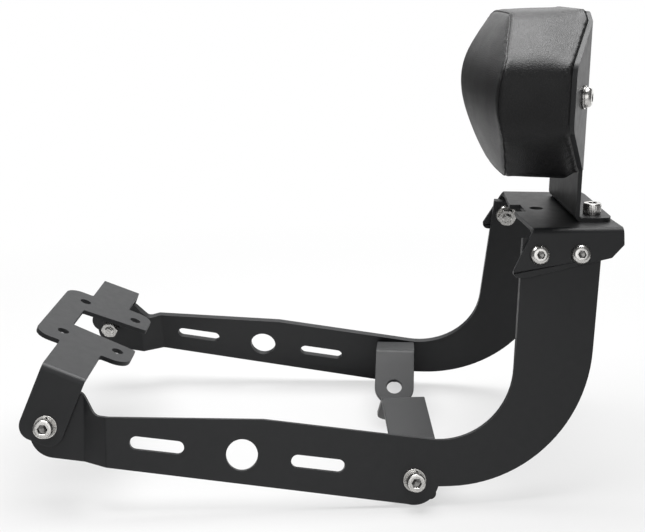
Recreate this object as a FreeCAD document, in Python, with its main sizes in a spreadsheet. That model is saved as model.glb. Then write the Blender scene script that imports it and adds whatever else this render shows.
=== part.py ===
import FreeCAD, Part
import math
import os
import re
import Sketcher

# Motorcycle grab rail with passenger backrest.
# Frame: +X towards the rear of the bike, +Y to its right, +Z up.
# The origin is midway between the two foremost bolt holes, on the underside of the front bracket.
# Every piece left of the middle plane Y = 0 is modelled, and the right one is its mirror image.

SIZES = [
    ("plate_thickness", 5.0, "side plate sheet"),
    ("plate_lean", 14.5, "inward lean of a side plate, degrees"),
    ("plate_toe", 4.0, "angle by which the side plates close in towards the rear, degrees"),
    ("plate_back", 141.0, "round hole of a side plate behind the origin"),
    ("plate_half_spacing", 119.0, "outer face of a side plate from the middle plane, at its round hole"),
    ("plate_drop", 59.0, "round hole of a side plate below the origin"),
    ("plate_hole", 22.0, "diameter of the round lightening hole"),
    ("slot_length", 37.5, "lightening slot, over its round ends"),
    ("slot_width", 9.2, "lightening slot"),
    ("slot_ahead", 58.8, "front slot from the round hole"),
    ("slot_behind", 53.0, "rear slot from the round hole"),
    ("arm_slope", 8.0, "fall of the slots towards the rear, degrees"),
    ("arm_kink_ahead", 15.3, "kink of the arm's top edge behind the round hole"),
    ("arm_kink_top", 24.0, "kink above the round hole"),
    ("arm_front", 101.0, "front end of the arm's top edge ahead of the round hole"),
    ("arm_front_top", 28.5, "front end of the arm's top edge above the round hole"),
    ("ear_front", 146.5, "front edge of the ear ahead of the round hole"),
    ("ear_rear", 110.5, "rear top corner of the ear ahead of the round hole"),
    ("ear_top", 45.0, "top edge of the ear above the round hole"),
    ("ear_bottom", 1.8, "front end of the bottom edge above the round hole"),
    ("ear_round", 18.0, "radius of the ear's lower corner"),
    ("ear_corner", 6.0, "radius of the ear's small corners"),
    ("joggle_start", 93.0, "start of the joggle ahead of the round hole"),
    ("joggle_length", 16.0, "joggle along the arm"),
    ("joggle_offset", 11.0, "inward step of the ear"),
    ("joggle_radius", 3.0, "bend radius of the joggle"),
    ("elbow_set", 11.3, "inner elbow corner ahead of the upright's front top corner"),
    ("elbow_drop", 0.5, "inner elbow corner below the round hole"),
    ("elbow_radius", 52.5, "inner elbow"),
    ("heel_set", 17.8, "outer elbow corner ahead of the upright's rear top corner"),
    ("heel_drop", 25.5, "outer elbow corner below the round hole"),
    ("heel_radius", 103.0, "outer elbow"),
    ("upright_top", 147.0, "top of the upright above the round hole"),
    ("upright_front", 198.3, "front top corner of the upright behind the round hole"),
    ("upright_width", 57.0, "top edge of the upright"),
    ("tab_bolt_behind", 119.5, "rear tab bolt behind the round hole"),
    ("tab_bolt_drop", 20.5, "rear tab bolt below the round hole"),
    ("tab_boss_radius", 17.5, "rounded bulge of the plate below the rear tab bolt"),
    ("front_bolt_ahead", 134.8, "front bolt ahead of the round hole"),
    ("front_bolt_rise", 21.5, "front bolt above the round hole"),
    ("bracket_thickness", 3.5, "front bracket and rear tab sheet"),
    ("bracket_pitch", 22.0, "fall of the front bracket towards the rear, degrees"),
    ("bracket_front", 39.5, "front edge of the bracket ahead of the origin"),
    ("bracket_rear", 33.5, "rear ends of the bracket strips behind the origin"),
    ("bracket_half_width", 55.5, "half width of the bracket plate"),
    ("bracket_corner", 12.0, "outer corner radius of the bracket plate"),
    ("notch_front", 18.5, "front edge of the bracket's cut-out ahead of the origin"),
    ("notch_half_front", 18.0, "half width of the cut-out at its front"),
    ("notch_half_rear", 24.0, "half width of the cut-out at its open end"),
    ("arm_tab_front", 19.3, "front edge of a side tab ahead of the origin"),
    ("arm_tab_rear", 12.3, "rear edge of a side tab behind the origin"),
    ("leg_drop", 47.0, "lower end of a bracket leg below the bracket plate"),
    ("leg_corner", 10.0, "corner radius of a bracket leg"),
    ("fold_radius", 2.0, "inner bend radius of the folded sheets"),
    ("front_hole_along", 43.0, "front bolt pattern, along the bracket"),
    ("front_hole_across", 74.0, "front bolt pattern, across the bracket"),
    ("front_hole", 8.5, "diameter of the front bolt holes"),
    ("tab_width", 32.0, "rear tab"),
    ("tab_leg_below", 15.0, "lower end of the tab's leg below its bolt"),
    ("tab_fold_rise", 27.0, "lower fold of the tab above its bolt"),
    ("tab_strip", 54.0, "rising strip of the tab"),
    ("tab_strip_angle", 26.5, "rise of the strip from the plate's normal, degrees"),
    ("tab_lug", 51.0, "falling lug of the tab"),
    ("tab_lug_angle", 25.5, "fall of the lug from the plate's normal, degrees"),
    ("tab_corner", 4.0, "lower corner radius of the tab's leg"),
    ("tab_hole", 12.5, "diameter of the hole in the lug"),
    ("saddle_thickness", 3.5, "saddle bridge sheet"),
    ("saddle_rise", 6.0, "outer fold of the saddle above the top of the upright"),
    ("saddle_front_set", 7.2, "front end of the fold behind the upright's front corner"),
    ("saddle_rear_lap", 14.2, "rear end of the fold behind the upright's rear corner"),
    ("saddle_lobe_lap", 7.8, "front lobe of the flange ahead of the upright's front corner"),
    ("saddle_lobe_drop", 28.0, "lowest point of the flange below the top of the upright"),
    ("saddle_rear_drop", 15.0, "rear end of the flange's lower edge below the top of the upright"),
    ("saddle_chamfer", 9.0, "rear lower corner cut"),
    ("saddle_lobe_radius", 5.0, "corner radius of the front lobe"),
    ("saddle_notch_width", 24.0, "notch in the front edge of the saddle"),
    ("saddle_notch_depth", 6.0, "notch in the front edge of the saddle"),
    ("saddle_hole", 10.0, "diameter of the hole in the saddle's top"),
    ("saddle_hole_behind", 16.0, "hole in the saddle's top behind its front edge"),
    ("saddle_bolt_drop", 12.2, "saddle bolts below the top of the upright"),
    ("saddle_bolt_set", 10.7, "front saddle bolt behind the upright's front corner"),
    ("saddle_bolt_rear_set", 17.3, "rear saddle bolt ahead of the upright's rear corner"),
    ("stay_thickness", 3.0, "backrest stay sheet"),
    ("stay_set", 16.0, "rear face of the stay ahead of the upright's rear corner"),
    ("stay_flat_half", 50.0, "half width of the flat middle of the stay"),
    ("stay_wing", 56.0, "length of a bent wing of the stay"),
    ("stay_wing_angle", 22.0, "forward bend of a wing, degrees"),
    ("stay_margin", 1.5, "edge of the stay inside the pad's outline"),
    ("stay_neck_half", 48.0, "half width of the neck"),
    ("stay_neck_height", 36.5, "underside of the foot to the underside of the pad"),
    ("stay_foot", 27.0, "foot from the front face of the neck"),
    ("stay_foot_corner", 8.0, "corner radius of the foot"),
    ("stay_bolt_half", 32.0, "foot bolts from the middle plane"),
    ("stay_bolt_behind", 12.5, "foot bolts behind the rear face of the neck"),
    ("pad_height", 111.5, "backrest pad"),
    ("pad_half_width", 99.0, "half width of the backrest pad"),
    ("pad_top_cut", 58.0, "upper slanted corner of the pad seen from the front, across"),
    ("pad_low_cut", 45.0, "lower slanted corner of the pad seen from the front, across"),
    ("pad_cut_up", 34.0, "slanted corners of the pad, upwards"),
    ("pad_corner", 12.0, "rounding of the slanted corners' ends"),
    ("pad_depth", 77.0, "thickness of the pad in its middle"),
    ("pad_nose_low", 44.0, "lower end of the pad's upright front above its underside"),
    ("pad_nose_high", 68.0, "upper end of the pad's upright front above its underside"),
    ("pad_bottom_set", 21.0, "front end of the underside behind the pad's front"),
    ("pad_top_set", 23.0, "front end of the top side behind the pad's front"),
    ("pad_nose_round", 45.0, "rounding of the pad's upright front"),
    ("pad_lip_round", 10.0, "rounding of the pad's top and bottom front edges"),
    ("pad_crown", 620.0, "radius of the pad's front seen from above"),
    ("board_thickness", 8.0, "backing board of the pad"),
    ("board_margin", 6.0, "edge of the backing board inside the pad's outline"),
    ("pad_bolt_along", 21.0, "pad bolts from the fold of a wing"),
    ("pad_bolt_rise", 54.5, "pad bolts above the pad's underside"),
    ("thread", 8.0, "screw thread diameter"),
    ("bolt_clearance", 0.6, "bolt hole over the thread diameter"),
    ("thread_gap", 0.1, "nut bore over the thread diameter"),
    ("cap_head", 13.0, "socket cap head diameter"),
    ("cap_height", 8.0, "socket cap head height"),
    ("cap_socket", 6.0, "hexagon socket of a cap head, across flats"),
    ("cap_socket_depth", 4.5, "hexagon socket of a cap head"),
    ("button_head", 14.0, "button head diameter"),
    ("button_height", 4.4, "button head height"),
    ("button_crown", 4.6, "radius of the flat top of a button head"),
    ("button_socket", 5.0, "hexagon socket of a button head, across flats"),
    ("button_socket_depth", 2.6, "hexagon socket of a button head"),
    ("head_edge", 0.8, "bevelled edge of a screw head"),
    ("nut_flats", 13.0, "hexagon nut across flats"),
    ("nut_height", 6.5, "hexagon nut"),
    ("nut_chamfer", 0.8, "corner chamfer of a nut"),
    ("washer_outer", 16.0, "flat washer"),
    ("washer_height", 1.6, "flat washer"),
    ("spring_outer", 14.2, "spring washer"),
    ("spring_height", 2.0, "spring washer, tightened"),
    ("spring_gap", 1.0, "split of a spring washer"),
    ("spring_slant", 20.0, "slant of the split, degrees"),
    ("washer_gap", 0.4, "washer bore over the thread diameter"),
    ("thread_stand", 2.0, "thread beyond its nut"),
    ("nut_flange", 17.5, "flange diameter of a flange nut"),
    ("nut_flange_height", 1.6, "flange of a flange nut"),
    ("tee_flange", 20.0, "tee nut flange diameter"),
    ("tee_flange_height", 1.5, "tee nut flange"),
    ("tee_barrel", 10.0, "tee nut barrel diameter"),
    ("tee_clearance", 0.4, "board hole over the barrel, and cushion hollow over the flange"),
]

TOOL_REACH = 300.0
ALIASES = {alias for alias, number, note in SIZES}

doc = FreeCAD.newDocument("grab_rail")
sheet = doc.addObject("Spreadsheet::Sheet", "Sizes")
for row, (alias, number, note) in enumerate(SIZES, start=1):
    sheet.set(f"A{row}", note)
    sheet.set(f"B{row}", str(number))
    sheet.setAlias(f"B{row}", alias)
doc.recompute()


def bound(text):
    """Turns a formula in plain size names into one that reads the sheet."""
    return re.sub(r"[a-z_]+", lambda word: f"Sizes.{word[0]}" if word[0] in ALIASES else word[0], str(text))


def number(text):
    """Value of a formula in plain size names."""
    return float(sheet.evalExpression(bound(text)))


def placed(x, y, z, yaw=0, pitch=0, roll=0):
    """Formula of a placement from formulas of its place and its turns in degrees."""
    spot = f"create(<<vector>>; {x}; {y}; {z})"
    return f"create(<<placement>>; {spot}; create(<<rotation>>; {yaw}; {pitch}; {roll}))"


# Frame of the left side plate: the round hole's centre on the outer face, x along the arm,
# y inwards through the sheet, z up the sheet.
PLATE = placed("plate_back", "-plate_half_spacing", "-plate_drop", "plate_toe", 0, "-plate_lean")
# Frame of the front bracket: x along its plate, z out of its upper face.
BRACKET_BACK = "front_hole_along / 2 * cos(bracket_pitch)"
BRACKET_DROP = "front_hole_along / 2 * sin(bracket_pitch)"
BRACKET = placed(BRACKET_BACK, 0, f"-{BRACKET_DROP}", 0, "bracket_pitch", 0)
LEG_OUTER = "(joggle_offset - bracket_thickness)"
UPRIGHT_REAR = "(upright_front + upright_width)"
SADDLE_FOLD = "(upright_top + saddle_rise)"
SADDLE_FRONT = "(upright_front + saddle_front_set)"
SADDLE_REAR = f"({UPRIGHT_REAR} + saddle_rear_lap)"
SADDLE_LOBE = "(upright_front - saddle_lobe_lap)"
LOBE_BOTTOM = "(upright_top - saddle_lobe_drop)"
SADDLE_BOLTS = ["upright_front + saddle_bolt_set", f"{UPRIGHT_REAR} - saddle_bolt_rear_set"]
SADDLE_BOLT_RISE = "(upright_top - saddle_bolt_drop)"
SADDLE_TOP = f"({SADDLE_FOLD} * cos(plate_lean) + saddle_thickness * sin(plate_lean) - plate_drop)"
STAY_BACK = f"(plate_back + {UPRIGHT_REAR} * cos(plate_toe) - stay_set)"
STAY_FRONT = f"({STAY_BACK} - stay_thickness)"
PAD_BOTTOM = f"({SADDLE_TOP} + stay_neck_height)"
LEFT_WING = placed(STAY_BACK, "-stay_flat_half", 0, "-stay_wing_angle", 0, 0)
RIGHT_WING = placed(STAY_BACK, "stay_flat_half", 0, "stay_wing_angle", 0, 0)
PAD_BOLTS = [(LEFT_WING, "-pad_bolt_along"), (RIGHT_WING, "pad_bolt_along")]
PAD_BOLT_HEIGHT = f"{PAD_BOTTOM} + pad_bolt_rise"
NUT_SEAT = "(-stay_thickness - board_thickness)"
SWEEP_MARGIN = 1.5


def move(piece, frame, x=0, y=0, z=0, yaw=0, pitch=0, roll=0):
    """Binds a piece's place to a spot in a frame."""
    piece.setExpression("Placement", bound(f"{frame} * {placed(x, y, z, yaw, pitch, roll)}"))
    return piece


WORLD = placed(0, 0, 0)


def outline_sketch(body, plane, corners, shift):
    """Sketch of a straight-sided outline, each corner a pair of formulas, at a distance from a plane."""
    sketch = body.newObject("Sketcher::SketchObject", body.Name + "_outline")
    support = next(item for item in body.Origin.OriginFeatures if item.Role == plane)
    sketch.AttachmentSupport = [(support, "")]
    sketch.MapMode = "FlatFace"
    sketch.setExpression("AttachmentOffset.Base.z", bound(shift))
    spots = [FreeCAD.Vector(number(across), number(up), 0) for across, up in corners]
    count = len(spots)
    for index in range(count):
        sketch.addGeometry(Part.LineSegment(spots[index], spots[(index + 1) % count]), False)
    for index in range(count):
        sketch.addConstraint(Sketcher.Constraint("Coincident", index, 2, (index + 1) % count, 1))
    for index, (across, up) in enumerate(corners):
        places = (("DistanceX", across, spots[index].x), ("DistanceY", up, spots[index].y))
        for kind, formula, value in places:
            constraint = sketch.addConstraint(Sketcher.Constraint(kind, -1, 1, index, 1, value))
            sketch.setExpression(f"Constraints[{constraint}]", bound(formula))
    return sketch


def outline_body(name, plane, corners, length, start=0, backwards=False):
    """Body of an outline padded by a length, from a distance along the pad's own direction."""
    body = doc.addObject("PartDesign::Body", name)
    pad = body.newObject("PartDesign::Pad", name + "_pad")
    pad.Profile = outline_sketch(body, plane, corners, f"-({start})" if backwards else f"{start}")
    pad.setExpression("Length", bound(length))
    pad.Reversed = backwards
    doc.recompute()
    return body


def turned_body(name, corners, angle, rounds):
    """Body of an outline in the XZ plane swept about the Z axis, half the angle to each side."""
    body = doc.addObject("PartDesign::Body", name)
    turn = body.newObject("PartDesign::Revolution", name + "_turn")
    turn.Profile = outline_sketch(body, "XZ_Plane", corners, "0")
    turn.ReferenceAxis = (turn.Profile[0], ["V_Axis"])
    turn.setExpression("Angle", bound(angle))
    turn.Midplane = True
    doc.recompute()
    for index, (across, up, radius) in enumerate(rounds):
        base = body.Tip
        wanted = (abs(number(across)), number(up))
        names = []
        for place, edge in enumerate(base.Shape.Edges, start=1):
            ends = [(math.hypot(vertex.X, vertex.Y), vertex.Z) for vertex in edge.Vertexes]
            if all(math.dist(end, wanted) < 1e-4 for end in ends):
                names.append(f"Edge{place}")
        fillet = body.newObject("PartDesign::Fillet", f"{name}_round_{index}")
        fillet.Base = (base, names)
        fillet.setExpression("Radius", bound(radius))
        doc.recompute()
    return body


def round_corners(body, plane, rounds):
    """Rounds the edges that stand on an outline's corners: each round is a corner and a radius."""
    axes = {"XY_Plane": (0, 1), "XZ_Plane": (0, 2), "YZ_Plane": (1, 2)}[plane]
    for index, (across, up, radius) in enumerate(rounds):
        base = body.Tip
        wanted = (number(across), number(up))
        names = []
        for place, edge in enumerate(base.Shape.Edges, start=1):
            ends = [[vertex.Point[axis] for axis in axes] for vertex in edge.Vertexes]
            if len(ends) == 2 and all(math.dist(end, wanted) < 1e-4 for end in ends):
                names.append(f"Edge{place}")
        fillet = body.newObject("PartDesign::Fillet", f"{body.Name}_round_{index}")
        fillet.Base = (base, names)
        fillet.setExpression("Radius", bound(radius))
        doc.recompute()
    return body


def folded_section(start, runs, near, far):
    """Corners of a folded sheet's section between two distances to the left of a line of runs.

    Each run is a length and a heading in degrees, both formulas.
    """
    line = [start]
    for length, heading in runs:
        x, y = line[-1]
        line.append((f"{x} + ({length}) * cos({heading})", f"{y} + ({length}) * sin({heading})"))
    headings = [heading for length, heading in runs]
    befores = [headings[0]] + headings
    afters = headings + [headings[-1]]
    sides = []
    for offset in (near, far):
        side = []
        for (x, y), before, after in zip(line, befores, afters):
            middle = f"((({before}) + ({after})) / 2)"
            reach = f"(({offset}) / cos((({after}) - ({before})) / 2))"
            side.append((f"{x} - {reach} * sin({middle})", f"{y} + {reach} * cos({middle})"))
        sides.append(side)
    return sides[0] + sides[1][::-1]


def cylinder(name, diameter, height):
    piece = doc.addObject("Part::Cylinder", name)
    piece.setExpression("Radius", bound(f"({diameter}) / 2"))
    piece.setExpression("Height", bound(height))
    return piece


def cone(name, low_radius, high_radius, height):
    piece = doc.addObject("Part::Cone", name)
    piece.setExpression("Radius1", bound(low_radius))
    piece.setExpression("Radius2", bound(high_radius))
    piece.setExpression("Height", bound(height))
    return piece


def block(name, length, width, height):
    piece = doc.addObject("Part::Box", name)
    piece.setExpression("Length", bound(length))
    piece.setExpression("Width", bound(width))
    piece.setExpression("Height", bound(height))
    return piece


def hexagon(name, flats, height):
    piece = doc.addObject("Part::Prism", name)
    piece.Polygon = 6
    piece.setExpression("Circumradius", bound(f"({flats}) / sqrt(3)"))
    piece.setExpression("Height", bound(height))
    return piece


def common(name, pieces):
    piece = doc.addObject("Part::MultiCommon", name)
    piece.Shapes = pieces
    return piece


def cut(name, base, tools):
    """Takes every tool away from the base, one after the other."""
    for index, tool in enumerate(tools):
        last = index == len(tools) - 1
        piece = doc.addObject("Part::Cut", name if last else f"{name}_cut_{index}")
        piece.Base = base
        piece.Tool = tool
        piece.Refine = True
        base = piece
    return base


def fuse(name, pieces):
    piece = doc.addObject("Part::MultiFuse", name)
    piece.Shapes = pieces
    piece.Refine = True
    return piece


def mirror(name, source):
    piece = doc.addObject("Part::Mirroring", name)
    piece.Source = source
    piece.Base = FreeCAD.Vector(0, 0, 0)
    piece.Normal = FreeCAD.Vector(0, 1, 0)
    return piece


def dress_edges(kind, name, base, size, wanted):
    """Rounds or bevels the edges of a finished solid that a test picks out."""
    doc.recompute()
    reach = number(size)
    piece = doc.addObject(kind, name)
    piece.Base = base
    numbered = enumerate(base.Shape.Edges, start=1)
    piece.Edges = [(place, reach, reach) for place, edge in numbered if wanted(edge)]
    doc.recompute()
    return piece


def round_edges(name, base, radius, wanted):
    return dress_edges("Part::Fillet", name, base, radius, wanted)


def bevel_edges(name, base, size, wanted):
    return dress_edges("Part::Chamfer", name, base, size, wanted)


def on_plane(frame, axis, height):
    """Test for an edge that lies in a plane of a frame."""
    place = sheet.evalExpression(bound(frame)).inverse()
    level = number(height)

    def test(edge):
        return all(abs(place.multVec(vertex.Point)[axis] - level) < 1e-3 for vertex in edge.Vertexes)

    return test


def on_both(first, second):
    return lambda edge: first(edge) and second(edge)


def bolt_hole(name, frame, x, z, from_y, through):
    """Tool for a bolt hole square to a side plate, in from a distance through a thickness."""
    tool = cylinder(name, "thread + bolt_clearance", through)
    return move(tool, frame, x, from_y, z, 0, 0, -90)


# Fasteners stand with their seat at z = 0 and the head or body above it.


def cap_screw(name, shank):
    head = cylinder(name + "_head", "cap_head", "cap_height")
    edge = bevel_edges(name + "_head_edge", head, "head_edge", on_plane(WORLD, 2, "cap_height"))
    return socket_screw(name, edge, shank, "cap_height", "cap_socket", "cap_socket_depth")


def button_screw(name, shank):
    head = cone(name + "_head", "button_head / 2", "button_crown", "button_height")
    return socket_screw(name, head, shank, "button_height", "button_socket", "button_socket_depth")


def socket_screw(name, head, shank, height, socket, depth):
    stem = move(cylinder(name + "_stem", "thread", shank), WORLD, 0, 0, f"-({shank})")
    key = move(hexagon(name + "_key", socket, depth), WORLD, 0, 0, f"{height} - {depth}")
    return cut(name, fuse(name + "_blank", [head, stem]), [key])


def hex_nut(name):
    prism = hexagon(name + "_prism", "nut_flats", "nut_height")
    turned = cylinder(name + "_turned", "nut_flats * 2 / sqrt(3)", "nut_height")
    chamfer = bevel_edges(name + "_chamfer", turned, "nut_chamfer", lambda edge: len(edge.Vertexes) == 1)
    bore = cylinder(name + "_bore", "thread + thread_gap", "nut_height")
    return cut(name, common(name + "_body", [prism, chamfer]), [bore])


def flange_nut(name):
    disc = cone(name + "_disc", "nut_flange / 2", "nut_flange / 2 - head_edge", "nut_flange_height")
    body = fuse(name + "_whole", [hex_nut(name + "_hexagon"), disc])
    return cut(name, body, [cylinder(name + "_through", "thread + thread_gap", "nut_height")])


def flat_washer(name):
    disc = cylinder(name + "_disc", "washer_outer", "washer_height")
    return cut(name, disc, [cylinder(name + "_bore", "thread + washer_gap", "washer_height")])


def spring_washer(name):
    disc = cylinder(name + "_disc", "spring_outer", "spring_height")
    bore = cylinder(name + "_bore", "thread + washer_gap", "spring_height")
    split = block(name + "_split", "spring_gap", "spring_outer", "spring_height * 3")
    move(split, WORLD, "-spring_gap / 2", 0, "-spring_height", 0, "spring_slant", 0)
    return cut(name, disc, [bore, split])


def both_sides(name, pieces):
    """Node of like pieces on the left, with their mirror images on the right."""
    group = doc.addObject("Part::Compound", name)
    group.Links = pieces + [mirror(f"{piece.Name}_right", piece) for piece in pieces]
    return group


def side_plate():
    corners = [
        ("-ear_front", "ear_bottom"),
        ("-ear_front", "ear_top"),
        ("-ear_rear", "ear_top"),
        ("-arm_front", "arm_front_top"),
        ("arm_kink_ahead", "arm_kink_top"),
        ("upright_front - elbow_set", "-elbow_drop"),
        ("upright_front", "upright_top"),
        (UPRIGHT_REAR, "upright_top"),
        (f"{UPRIGHT_REAR} - heel_set", "-heel_drop"),
        ("tab_bolt_behind", "-heel_drop"),
        ("tab_bolt_behind", "-tab_bolt_drop - tab_boss_radius"),
    ]
    reach = "joggle_offset + plate_thickness"
    joggle_angle = "atan(joggle_offset / joggle_length) / (1 deg)"
    profile = outline_body("plate_profile", "XZ_Plane", corners, reach, 0, True)
    ear_corners = [corners[index] + ("ear_corner",) for index in (1, 2, 3)]
    elbows = [corners[0] + ("ear_round",), corners[5] + ("elbow_radius",), corners[8] + ("heel_radius",)]
    round_corners(profile, "XZ_Plane", ear_corners + elbows)
    boss = move(cylinder("plate_boss", "tab_boss_radius * 2", reach), WORLD,
                "tab_bolt_behind", 0, "-tab_bolt_drop", 0, 0, -90)
    runs = [
        (f"{UPRIGHT_REAR} + joggle_start", "180"),
        ("sqrt(joggle_length ^ 2 + joggle_offset ^ 2)", f"(180 - {joggle_angle})"),
        ("ear_front - joggle_start", "180"),
    ]
    section = folded_section((UPRIGHT_REAR, "0"), runs, "0", "-plate_thickness")
    height = "upright_top + tab_bolt_drop + tab_boss_radius"
    strip = outline_body("plate_strip", "XY_Plane", section, height, "-tab_bolt_drop - tab_boss_radius")
    bends = [section[index] + ("joggle_radius",) for index in (1, 2, 5, 6)]
    round_corners(strip, "XY_Plane", bends)
    sheet_form = common("plate_sheet", [fuse("plate_face", [profile, boss]), strip])
    tools = [move(cylinder("plate_round_hole", "plate_hole", "plate_thickness"), WORLD, 0, 0, 0, 0, 0, -90)]
    for name, centre in (("front", "-slot_ahead"), ("rear", "slot_behind")):
        half = "(slot_length - slot_width) / 2"
        ends = []
        for end, sign in (("a", "-"), ("b", "+")):
            along = f"({centre} {sign} {half})"
            round_end = cylinder(f"slot_{name}_{end}", "slot_width", "plate_thickness")
            ends.append(move(round_end, WORLD, f"{along} * cos(arm_slope)", 0, f"-{along} * sin(arm_slope)",
                             0, 0, -90))
        middle = block(f"slot_{name}_middle", "slot_length - slot_width", "plate_thickness", "slot_width")
        slope = placed(0, 0, 0, 0, "arm_slope", 0)
        move(middle, slope, f"{centre} - {half}", 0, "-slot_width / 2")
        tools.append(fuse(f"slot_{name}", ends + [middle]))
    tools.append(bolt_hole("plate_front_bolt", WORLD, "-front_bolt_ahead", "front_bolt_rise",
                           "joggle_offset", "plate_thickness"))
    tools.append(bolt_hole("plate_tab_bolt", WORLD, "tab_bolt_behind", "-tab_bolt_drop",
                           0, "plate_thickness"))
    for index, along in enumerate(SADDLE_BOLTS):
        tools.append(bolt_hole(f"plate_saddle_bolt_{index}", WORLD, along, SADDLE_BOLT_RISE,
                               0, "plate_thickness"))
    left = cut("left_side_plate", sheet_form, tools)
    move(left, PLATE)
    return [left, mirror("right_side_plate", left)]


def front_bracket():
    corners = [
        ("-bracket_front", "0"),
        ("-bracket_front", "-bracket_half_width"),
        ("-arm_tab_front", "-bracket_half_width"),
        ("-arm_tab_front", "-plate_half_spacing"),
        ("arm_tab_rear", "-plate_half_spacing"),
        ("arm_tab_rear", "-bracket_half_width"),
        ("bracket_rear", "-bracket_half_width"),
        ("bracket_rear", "-notch_half_rear"),
        ("-notch_front", "-notch_half_front"),
        ("-notch_front", "0"),
    ]
    plate = outline_body("bracket_plate", "XY_Plane", corners, "bracket_thickness")
    rounds = [corners[1] + ("bracket_corner",), corners[6] + ("bracket_corner",)]
    rounds += [corners[index] + ("fold_radius",) for index in (2, 5, 7, 8)]
    round_corners(plate, "XY_Plane", rounds)
    move(plate, BRACKET)
    outside = block("bracket_outside", TOOL_REACH, TOOL_REACH, TOOL_REACH)
    move(outside, PLATE, -TOOL_REACH, f"{LEG_OUTER} - {TOOL_REACH}", -TOOL_REACH / 2)
    tab = cut("bracket_tabs", plate, [outside])
    leg_corners = [
        ("-arm_tab_front", "bracket_thickness"),
        ("-arm_tab_front", "-leg_drop"),
        ("arm_tab_rear", "-leg_drop"),
        ("arm_tab_rear", "bracket_thickness"),
    ]
    prism = outline_body("bracket_leg_prism", "XZ_Plane", leg_corners, TOOL_REACH)
    round_corners(prism, "XZ_Plane", [leg_corners[index] + ("leg_corner",) for index in (1, 2)])
    move(prism, BRACKET)
    slab = block("bracket_leg_slab", TOOL_REACH, "bracket_thickness", TOOL_REACH)
    move(slab, PLATE, -TOOL_REACH, LEG_OUTER, -TOOL_REACH / 2)
    leg = common("bracket_leg", [prism, slab])
    sharp = fuse("bracket_sharp", [tab, leg])
    top_face = on_plane(BRACKET, 2, "bracket_thickness")
    outer_face = on_plane(PLATE, 1, LEG_OUTER)
    outer = round_edges("bracket_outer_fold", sharp, "fold_radius + bracket_thickness",
                        on_both(top_face, outer_face))
    under_face = on_plane(BRACKET, 2, "0")
    inner_face = on_plane(PLATE, 1, "joggle_offset")
    folded = round_edges("bracket_inner_fold", outer, "fold_radius", on_both(under_face, inner_face))
    tools = [bolt_hole("bracket_leg_bolt", PLATE, "-front_bolt_ahead", "front_bolt_rise",
                       LEG_OUTER, "bracket_thickness")]
    for name, along in (("front", "-front_hole_along / 2"), ("rear", "front_hole_along / 2")):
        hole = cylinder(f"bracket_hole_{name}", "front_hole", "bracket_thickness")
        tools.append(move(hole, BRACKET, along, "-front_hole_across / 2", 0))
    half = cut("bracket_half", folded, tools)
    return [fuse("front_bracket", [half, mirror("bracket_half_right", half)])]


def rear_tab():
    runs = [
        ("tab_leg_below + tab_fold_rise", "90"),
        ("tab_strip", "tab_strip_angle"),
        ("tab_lug", "(-tab_lug_angle)"),
    ]
    start = ("plate_thickness", "(-tab_bolt_drop - tab_leg_below)")
    section = folded_section(start, runs, "0", "-bracket_thickness")
    body = outline_body("tab_section", "YZ_Plane", section, "tab_width", "tab_bolt_behind - tab_width / 2")
    rounds = [section[index] + ("fold_radius + bracket_thickness",) for index in (1, 2)]
    rounds += [section[index] + ("fold_radius",) for index in (5, 6)]
    round_corners(body, "YZ_Plane", rounds)
    tip_y, tip_z = section[3]
    lug = placed("tab_bolt_behind", tip_y, tip_z, 0, 0, "-tab_lug_angle")
    back = "tab_width / 2"
    keep = cylinder("tab_round_end", "tab_width", "bracket_thickness * 3")
    move(keep, lug, 0, f"-({back})", "-bracket_thickness * 2")
    corner_block = block("tab_end_block", "tab_width * 2", back, "bracket_thickness * 3")
    move(corner_block, lug, "-tab_width", f"-({back})", "-bracket_thickness * 2")
    waste = cut("tab_waste", corner_block, [keep])
    hole = cylinder("tab_lug_hole", "tab_hole", "bracket_thickness * 3")
    move(hole, lug, 0, f"-({back})", "-bracket_thickness * 2")
    bolt = bolt_hole("tab_leg_bolt", WORLD, "tab_bolt_behind", "-tab_bolt_drop",
                     "plate_thickness", "bracket_thickness")
    bare = cut("tab_bare", body, [waste, hole, bolt])
    lower = on_plane(WORLD, 2, "-tab_bolt_drop - tab_leg_below")
    sides = [on_plane(WORLD, 0, f"tab_bolt_behind {sign} tab_width / 2") for sign in "-+"]
    left = round_edges("left_rear_tab", bare, "tab_corner",
                       lambda edge: lower(edge) and any(side(edge) for side in sides))
    move(left, PLATE)
    return [left, mirror("right_rear_tab", left)]


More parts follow.
